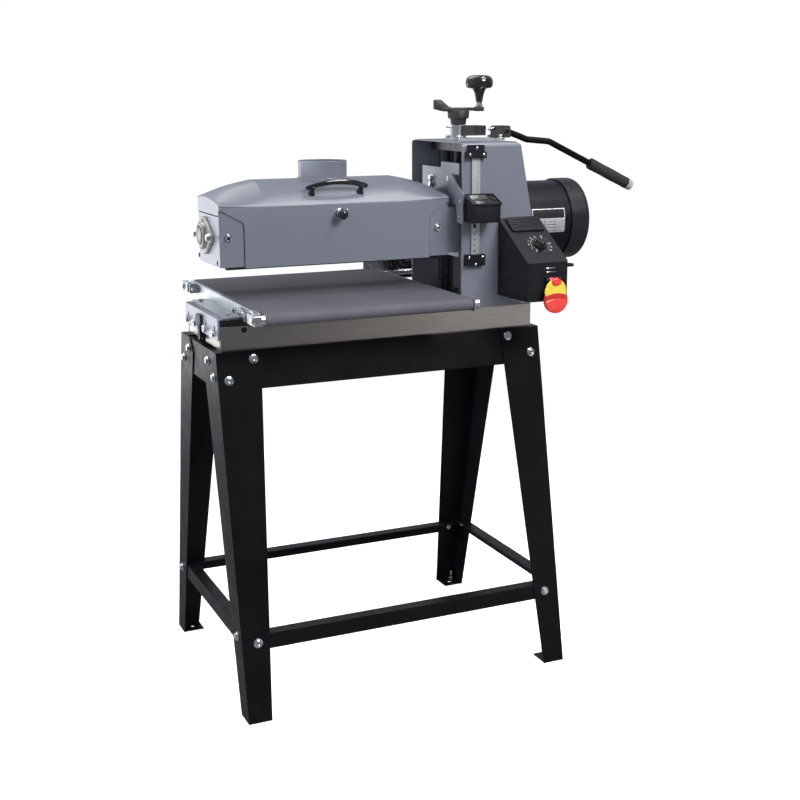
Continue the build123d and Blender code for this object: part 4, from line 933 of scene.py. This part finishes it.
def panel_trim():
    """Ribbed pad, dial figures and ticks, the recess round the dial and the slots of the front."""
    bm = bmesh.new()
    for k in range(4):
        plane = panel_place(316 * MM, 0.17, 3.8 * MM) @ Matrix.Translation((0, (16.5 - 8.2 * k) * MM, 0))
        join(bm, soften(prism(oval(72 * MM, 5.6 * MM, 6, 32), plane, 1.1 * MM), 0.5 * MM, 50, 2))
    ring = panel_place(DIAL_X, DIAL_ALONG, -0.3 * MM)
    join(bm, soften(prism(oval(62 * MM, 62 * MM, 2.6, 64), ring, 0.9 * MM), 0.3 * MM, 50, 1), 1)
    for k in range(41):
        turn = math.radians(230 - 7 * k)
        inner, outer = (18.5, 21.5) if k % 4 == 0 else (19.5, 21.0)
        way = Vector((math.cos(turn), math.sin(turn), 0))
        centre = way * (inner + outer) / 2 * MM
        tick = panel_place(DIAL_X, DIAL_ALONG, 0.55 * MM) @ Matrix.Translation(centre)
        tick = tick @ Matrix.Rotation(turn, 4, "Z")
        join(bm, prism(oval((outer - inner) * MM, 0.7 * MM, 8, 8), tick, 0.15 * MM), 2)
    for number in range(11):
        turn = math.radians(230 - 28 * number)
        spot = Vector((math.cos(turn), math.sin(turn), 0)) * 25.5 * MM
        plane = panel_place(DIAL_X, DIAL_ALONG, 0.65 * MM) @ Matrix.Translation(spot)
        written(bm, str(number), plane, 7.4 * MM, 2)
    front = PANEL_FRONT.y
    for z in (874, 866):
        join(bm, rounded_box((308 * MM, front - 0.7 * MM, z * MM - 1.1 * MM),
                             (331 * MM, front + 1 * MM, z * MM + 1.1 * MM), 0.4 * MM), 3)
        join(bm, rounded_box((309.5 * MM, front - 0.9 * MM, z * MM - 0.3 * MM),
                             (329.5 * MM, front, z * MM + 0.3 * MM), 0.1 * MM, 1), 0)
    # seam between the two halves of the housing, down the left side and across the front
    for start, end in (((-140, 812), (-140, 948)), ((-140, 948), (-246, 881))):
        a = Vector((panel_low.x, start[0] * MM, start[1] * MM))
        b = Vector((panel_low.x, end[0] * MM, end[1] * MM))
        join(bm, tube([a, b], [0.7 * MM, 0.7 * MM], 10))
    piece("panel_trim", bm, ["black_plastic", "gloss_black", "white_print", "bolt_zinc"], "stand")
    bm = bmesh.new()
    for y in (-150, -228):
        pan_head(bm, (panel_low.x, y * MM, 816 * MM), -RIGHT, 3.2 * MM)
    piece("housing_screws", bm, ["cast_black", "black_plastic"], "stand")
    # plated bracket that carries the housing on the base
    bm = bmesh.new()
    plane = Matrix.Translation((0, 0, 802.6 * MM))
    plan = mm((262, -124), (262, -232), (270, -240), (330, -240), (338, -232), (338, -124))
    join(bm, soften(prism(plan, plane, 2.8 * MM), 0.6 * MM))
    fold = mm((-124, 779.2), (-121.5, 779.2), (-121.5, 805), (-124, 805))
    plane = placed((262 * MM, 0, 0), RIGHT, (0, 1, 0))
    join(bm, soften(prism(fold, plane, 76 * MM), 0.5 * MM))
    for x in (276, 324):
        hex_head(bm, (x * MM, -180 * MM, 802.6 * MM), -UP, 8 * MM, 4 * MM, 6.5 * MM)
    piece("housing_bracket", bm, ["zinc"], "stand")


def speed_dial():
    """Fluted dial with a bar grip and a white pointer line."""
    bm = bmesh.new()
    flutes = []
    for k in range(96):
        turn = 2 * math.pi * k / 96
        radius = 14.9 * MM - 0.55 * MM * (0.5 - 0.5 * math.cos(24 * turn))
        flutes.append((radius * math.cos(turn), radius * math.sin(turn)))
    place = panel_place(DIAL_X, DIAL_ALONG)
    join(bm, soften(prism(flutes, place @ Matrix.Translation((0, 0, 0.4 * MM)), 3.4 * MM), 0.4 * MM, 50, 1))
    dial_profile = [(0, 3.4), (12.2, 3.4), (11.4, 4.6), (10.9, 12.4), (9.9, 13.9), (0, 14.2)]
    cone = lathe([(r * MM, h * MM) for r, h in dial_profile], (0, 0, 0), UP, 48)
    bmesh.ops.transform(cone, matrix=place, verts=cone.verts)
    join(bm, cone)
    grip = prism(oval(27 * MM, 6.6 * MM, 5, 40), place @ Matrix.Rotation(math.radians(78), 4, "Z"), 15.4 * MM)
    join(bm, soften(grip, 1.0 * MM, 50, 2))
    mark = place @ Matrix.Rotation(math.radians(78), 4, "Z") @ Matrix.Translation((8 * MM, 0, 15.3 * MM))
    join(bm, prism(oval(10 * MM, 1.3 * MM, 8, 12), mark, 0.2 * MM), 1)
    piece("dial_knob", bm, ["gloss_black", "white_print"], "dial", ["speed_dial"])


def stop_paddle():
    """Two-colour lift-up stop paddle on its hinge pin, with a darker red of painted shade on the band that
    steps down under the yellow plate.
    """
    low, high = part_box("stop_paddle")
    middle = (low.x + high.x) / 2
    pin_z = high.z - 5 * MM
    back = low.y + 9 * MM
    bm = bmesh.new()

    def dished(outline, start, thickness, edge, material):
        plane = placed((middle, start, 0), FRONT, RIGHT)
        join(bm, soften(prism(outline, plane, thickness), edge, 40, 3), material)

    ring = [math.radians(5 * k) for k in range(72)]
    upper = [(24.6 * MM * math.cos(a), 827 * MM + 26 * MM * math.sin(a)) for a in ring]
    dished(upper, back, 6.4 * MM, 2.0 * MM, 1)

    def lobe(reach, rise):
        """Round lower lobe, cut off at the top by a shallow arch."""
        edge_z = [(reach * math.cos(a), 809.5 * MM + reach * math.sin(a)) for a in ring]
        kept = [(x, z) for x, z in edge_z if z < 815 * MM + rise]
        kept.sort(key=lambda point: math.atan2(point[1] - 809.5 * MM, point[0]) % (2 * math.pi))
        start = max(range(len(kept)), key=lambda k: (kept[k][0] < 0, kept[k][1]))
        arc = kept[start:] + kept[:start]
        width = arc[-1][0]
        arch = []
        for k in range(1, 12):
            x = width * (1 - k / 6)
            arch.append((x, arc[0][1] + 5.5 * MM * (1 - (x / width) ** 2)))
        return arc + arch

    # band under the yellow plate, in the darker red of painted shade
    dished(lobe(27.3 * MM, 4 * MM), back, 7.6 * MM, 1.6 * MM, 2)
    dished(lobe(27.3 * MM, -6.5 * MM), back, 9 * MM, 2.2 * MM, 0)
    crown = [(12 * MM * math.cos(a), 846.5 * MM + 8.2 * MM * math.sin(a)) for a in ring]
    dished(crown, back + 1 * MM, 8.6 * MM, 2.4 * MM, 0)
    pin_y = back + 5.5 * MM
    join(bm, drum((middle - 11.4 * MM, pin_y, pin_z), RIGHT, 4.9 * MM, 22.8 * MM, 0.8 * MM), 0)
    join(bm, rounded_box((middle - 11 * MM, back - 1 * MM, pin_z - 6 * MM),
                         (middle + 11 * MM, pin_y, pin_z + 2 * MM), 0.8 * MM), 0)
    join(bm, drum((middle - 18 * MM, pin_y, pin_z), RIGHT, 1.9 * MM, 36 * MM, 0.4 * MM), 3)
    piece("paddle_two_colour", bm, ["red_plastic", "yellow_plastic", "red_painted_shade", "bolt_zinc"], "paddle",
          ["stop_paddle"])


def reset():
    """Reset button with its collar on the right side of the housing."""
    low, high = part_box("reset_button")
    centre = Vector((PANEL_FACE, (low.y + high.y) / 2, (low.z + high.z) / 2))
    bm = bmesh.new()
    profile = [(5.35, -1), (9.4, -1), (9.4, 1.6), (8.6, 2.4), (6.0, 2.6), (5.35, 2.4)]
    turned(bm, profile, centre, RIGHT, 36, closed=True)
    piece("reset_collar", bm, ["black_plastic"], "stand")
    bm = bmesh.new()
    profile = [(0, -4), (4.9, -4), (4.9, 4.6), (4.2, 5.7), (0, 6)]
    turned(bm, profile, centre, RIGHT, 36)
    piece("reset_key_cap", bm, ["gloss_black"], "reset", ["reset_button"])


# ---------------------------------------------------------------- motor
def motor_trim():
    """Nameplate without words and its four screws, fan cover screws and the end bell seam."""
    low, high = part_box("motor_body")
    axis_z = (low.z + high.z) / 2
    radius = (high.z - low.z) / 2
    bm = bmesh.new()

    def patch(x0, x1, a0, a1, lift, material):
        """Curved plate on the motor's front side between two heights given as angles."""
        steps = 14
        part = bmesh.new()
        rows = []
        for k in range(steps + 1):
            turn = math.radians(a0 + (a1 - a0) * k / steps)
            row = []
            for depth in (radius - 0.5 * MM, radius + lift):
                for x in (x0, x1):
                    row.append(part.verts.new((x, -depth * math.cos(turn), axis_z + depth * math.sin(turn))))
            rows.append(row)
        for near, far in zip(rows, rows[1:]):
            for a, b in ((0, 1), (1, 3), (3, 2), (2, 0)):
                part.faces.new((near[a], near[b], far[b], far[a]))
        for row in (rows[0], rows[-1]):
            part.faces.new((row[0], row[1], row[3], row[2]))
        bmesh.ops.recalc_face_normals(part, faces=part.faces)
        join(bm, part, material)

    patch(371 * MM, 453 * MM, -14.5, 20.5, 0.45 * MM, 0)
    patch(373 * MM, 451 * MM, 6.6, 19.4, 0.6 * MM, 1)
    for k in range(4):
        patch(375 * MM, 449 * MM - k * 7 * MM, -11.8 + k * 4.4, -11.2 + k * 4.4, 0.6 * MM, 1)
    for x in (401, 428):
        patch(x * MM, (x + 0.5) * MM, -13.2, 4.6, 0.6 * MM, 1)
    for x in (374.4, 449.6):
        for turn in (-12.6, 4.4):
            out = around(turn)
            pan_head(bm, Vector((x * MM, 0, axis_z)) + out * (radius + 0.4 * MM), out, 1.5 * MM, 2)
    piece("motor_plate", bm, ["scale_plate", "black_plastic", "bolt_zinc"], "head")

    bm = bmesh.new()
    fan_low, fan_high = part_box("motor_fan_cover")
    fan_radius = (fan_high.z - fan_low.z) / 2
    for turn in (52, 142, 232, 322):
        out = around(turn)
        pan_head(bm, Vector((fan_low.x + 9 * MM, 0, axis_z)) + out * (fan_radius - 0.3 * MM), out, 3.6 * MM)
    piece("fan_cover_screws", bm, ["dark_steel", "black_plastic"], "head")

    bm = bmesh.new()
    seam = [(radius - 1 * MM, 0), (radius + 0.5 * MM, 0), (radius + 0.9 * MM, 0.8 * MM),
            (radius + 0.9 * MM, 3.2 * MM), (radius + 0.5 * MM, 4 * MM), (radius - 1 * MM, 4 * MM)]
    join(bm, lathe(seam, (low.x + 24 * MM, 0, axis_z), RIGHT, 96, closed=True))
    piece("motor_end_seam", bm, ["motor_black"], "head")


# ---------------------------------------------------------------- stand and base hardware
def stand_bolts():
    """Flanged hex bolts with their nuts through the legs, rails and base."""
    half_width = STAND_HALF_WIDTH
    slant = math.atan2(LEG_SPLAY, STAND_HEIGHT)
    normal = Vector((0, -math.cos(slant), math.sin(slant)))

    def leg_y(z):
        return -(LEG_TOP_Y + (STAND_HEIGHT - z) * math.tan(slant))

    bm = bmesh.new()
    face = [(-half_width + 76.5 * MM, 714 * MM), (-half_width + 22.5 * MM, 675 * MM),
            (-330.5 * MM, 157.5 * MM)]
    side = [(leg_y(705.5 * MM) + 62 * MM, 705.5 * MM), (leg_y(678 * MM) + 27 * MM, 678 * MM),
            (-211.5 * MM, 167 * MM)]
    places = [(Vector((x, leg_y(z), z)), normal, 4.5 * MM) for x, z in face]
    places += [(Vector((-half_width, y, z)), -RIGHT, 4.5 * MM) for y, z in side]
    places.append((at(-300, -105, 733), UP, 5 * MM))
    for x_side in (1, -1):
        for y_side in (1, -1):
            flip = Vector((x_side, y_side, 1))
            for spot, out, grip in places:
                spot, out = spot * flip, out * flip
                join(bm, drum(spot, out, 9.5 * MM, 1.5 * MM, 0.5 * MM))
                hex_head(bm, spot + out * 1.4 * MM, out, 13 * MM, 4 * MM)
                hex_head(bm, spot - out * grip, -out, 13 * MM, 6.2 * MM)
                join(bm, drum(spot - out * (grip + 5 * MM), -out, 3.9 * MM, 4.6 * MM, 0.4 * MM))
    stud = at(351, 259, 2.5)
    hex_head(bm, stud, UP, 13 * MM, 6 * MM)
    join(bm, drum(stud, UP, 3.9 * MM, 23 * MM, 0.6 * MM))
    piece("frame_bolts", bm, ["bolt_zinc"], "stand", ["stand_bolts"])


def base_details():
    """Plugged cable hole of the base and the rings on the conveyor rollers."""
    bm = bmesh.new()
    profile = [(2.2, -1), (5.4, -1), (5.4, 0.9), (4.6, 1.5), (2.9, 1.3), (2.2, 0.5)]
    hole = Vector((-301 * MM, BASE_FRONT, 771 * MM))
    turned(bm, profile, hole, FRONT, 28, closed=True)
    piece("base_grommet", bm, ["lead_black"], "stand")
    # stepped bearing caps where the roller shafts leave the conveyor rails
    bm = bmesh.new()
    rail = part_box("conveyor_belt")[1].x + 5.1 * MM
    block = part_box("take_up_blocks")[0].x
    height = (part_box("take_up_blocks")[0].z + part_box("take_up_blocks")[1].z) / 2
    cap = [(6.3, 0), (10.8, 0), (10.8, 1.6), (9.2, 2.2), (9.2, 4.4), (10.8, 5), (10.8, 6.6), (9.2, 7.2),
           (9.2, 9.4), (10.4, 10), (10.4, 11.4), (9.6, 12.2), (6.3, 12.2)]
    turned(bm, cap, (rail, -ROLLER_REACH, height), RIGHT, 44, closed=True)
    washer = [(6.3, 0), (9.4, 0), (9.4, 1.0), (8.6, 1.6), (7.4, 1.6), (6.3, 1.2)]
    for side in (-1, 1):
        spot = (block - 0.1 * MM, side * ROLLER_REACH, height)
        turned(bm, washer, spot, -RIGHT, 36, closed=True)
        for reach in (216, 222):
            nut = Vector((block + 7 * MM, side * reach * MM, height + 10 * MM))
            hex_head(bm, nut, UP, 6 * MM, 2.6 * MM)
    piece("roller_end_caps", bm, ["bolt_zinc"], "stand")
    # adjusting end of the front take-up screw, with its head and two jam nuts
    bm = bmesh.new()
    screw_x = block + 6.7 * MM
    join(bm, drum((screw_x, -189 * MM, height), -FRONT, 3 * MM, 76 * MM, 0.3 * MM, 20))
    for y, thick in ((-117, 5), (-146, 5), (-160, 5), (-180, 4)):
        hex_head(bm, (screw_x, y * MM, height), -FRONT, 10 * MM, thick * MM, 6.4 * MM)
    piece("take_up_nuts", bm, ["bolt_zinc"], "stand")


for make in (dust_cover, dust_port, cover_handle, latch_knob, cover_trim, head_screws, bearings,
             carriage_bolts, crank_arm, crank_knob, lever_end, clamp_hardware, scale_marks, readout,
             bracket_screws, panel_trim, speed_dial, stop_paddle, reset, motor_trim,
             stand_bolts, base_details):
    make()


# ---------------------------------------------------------------- camera, light, floor
CAMERA_PLACE = Vector((-1.038435, -2.507833, 1.227728))
CAMERA_AZIMUTH = math.radians(-24.24489844)
CAMERA_ELEVATION = math.radians(13.61124205)
CAMERA_ROLL = math.radians(-0.17450596)
CAMERA_LENS = 57.238           # millimetres, on a 36 mm sensor
BRIGHTEST = Vector((-0.34, 0.62, 0.70))
ROOM_SHADES = ((0.0, 0.05), (0.42, 0.06), (0.62, 0.24), (0.84, 0.62), (1.0, 0.95))
FLOOR_HALF = 1.7
FLOOR_GLOW = 0.8               # the sheet looks as white as the sweep behind it


def add_camera():
    level = math.cos(CAMERA_ELEVATION)
    back = Vector((math.sin(CAMERA_AZIMUTH) * level, -math.cos(CAMERA_AZIMUTH) * level,
                   math.sin(CAMERA_ELEVATION)))
    right = (-back).cross(UP).normalized()
    top = right.cross(-back)
    tilt = Matrix.Rotation(CAMERA_ROLL, 3, back)
    turn = Matrix((tilt @ right, tilt @ top, back)).transposed()
    data = bpy.data.cameras.new("camera")
    data.lens = CAMERA_LENS
    camera = add_object("camera", data)
    camera.matrix_world = Matrix.Translation(CAMERA_PLACE) @ turn.to_4x4()
    bpy.context.scene.camera = camera


def add_area(name, place, target, size, power, glints=True, lights=True):
    """Soft light; one without glints shows in no reflection, one that does not light shows only there."""
    data = bpy.data.lights.new(name, "AREA")
    data.shape = "RECTANGLE"
    data.size, data.size_y = size
    data.energy = power
    lamp = add_object(name, data)
    direction = Vector(target) - Vector(place)
    lamp.rotation_euler = direction.to_track_quat("-Z", "Y").to_euler()
    lamp.location = place
    lamp.visible_glossy = glints
    lamp.visible_diffuse = lights


def add_world():
    """Soft room light, brightest behind and above and dim in front, and a white sweep to look at."""
    world = bpy.data.worlds.new("studio")
    bpy.context.scene.world = world
    world.use_nodes = True
    tree = Tree(world.node_tree)
    light = world.node_tree.nodes["Background"]
    toward = tree.node("ShaderNodeVectorMath", operation="DOT_PRODUCT")
    toward.inputs[1].default_value = BRIGHTEST.normalized()
    span = tree.node("ShaderNodeMapRange", **{"From Min": -1.0})
    ramp = tree.node("ShaderNodeValToRGB")
    stops = ramp.color_ramp.elements
    for k, (position, shade) in enumerate(ROOM_SHADES):
        stop = stops[0] if k == 0 else stops[1] if k == len(ROOM_SHADES) - 1 else stops.new(position)
        stop.position = position
        stop.color = (shade * 0.93, shade * 0.97, shade * 1.05, 1)
    seen = tree.node("ShaderNodeLightPath").outputs
    power = tree.node("ShaderNodeMapRange", **{"To Min": 0.6, "To Max": 0.42})
    white = tree.node("ShaderNodeBackground", Color=(1, 1, 1, 1), Strength=1.02)
    either = tree.node("ShaderNodeMixShader")
    tree.link(tree.node("ShaderNodeTexCoord").outputs["Generated"], toward.inputs[0])
    tree.link(toward.outputs["Value"], span.inputs["Value"])
    tree.link(span.outputs["Result"], ramp.inputs["Fac"])
    tree.link(ramp.outputs["Color"], light.inputs["Color"])
    tree.link(seen["Is Diffuse Ray"], power.inputs["Value"])
    tree.link(power.outputs["Result"], light.inputs["Strength"])
    tree.link(seen["Is Camera Ray"], either.inputs[0])
    tree.link(light.outputs[0], either.inputs[1])
    tree.link(white.outputs[0], either.inputs[2])
    tree.link(either.outputs[0], world.node_tree.nodes["World Output"].inputs["Surface"])


def add_floor():
    half = FLOOR_HALF
    mesh = bpy.data.meshes.new("floor")
    mesh.from_pydata([(-half, -half, 0), (half, -half, 0), (half, half, 0), (-half, half, 0)],
                     [], [(0, 1, 2, 3)])
    floor = add_object("floor", mesh)
    paint = Paint("floor", (0.86, 0.86, 0.86), 0.8, Specular_IOR_Level=0.0, Emission_Color=(1, 1, 1, 1))
    seen = paint.node("ShaderNodeLightPath").outputs["Is Camera Ray"]
    paint.vary("Base Color", seen, 0.27, 0.87, at=(0.0, 1.0))
    glow = paint.node("ShaderNodeMath", operation="MULTIPLY")
    glow.inputs[1].default_value = FLOOR_GLOW
    paint.link(seen, glow.inputs[0])
    paint.link(glow.outputs[0], paint.shader.inputs["Emission Strength"])
    mesh.materials.append(paint.material)


add_camera()
add_world()
add_floor()
add_area("key", (0.9, -2.6, 2.75), (0, 0, 0.9), (1.2, 0.9), 76)
add_area("high_right", (1.4, -1.15, 3.4), (0, 0, 0.9), (0.35, 0.35), 20)
add_area("front_fill", (-1.5, -4.0, 1.9), (0, 0, 0.8), (3.0, 2.4), 38, glints=False)
add_area("left", (-2.7, 0.3, 0.95), (-0.1, 0, 0.8), (1.2, 1.0), 92, glints=False)
add_area("crease", (0.95, -0.6, 3.9), (0, 0, 1.0), (1.7, 0.6), 34, lights=False)
add_area("sheen", (-1.2, 2.7, 4.5), (-1.2, 2.7, 0), (4.0, 4.4), 130, lights=False)
add_area("rear_left", (-1.25, 2.9, 0.55), (-0.3, 0, 0.5), (1.5, 1.1), 9, lights=False)
add_area("low_right", (1.7, -2.35, 0.3), (0.3, 0, 0.7), (1.1, 0.8), 1.6, lights=False)
scene = bpy.context.scene
scene.view_settings.view_transform = "Standard"
scene.view_settings.look = "None"
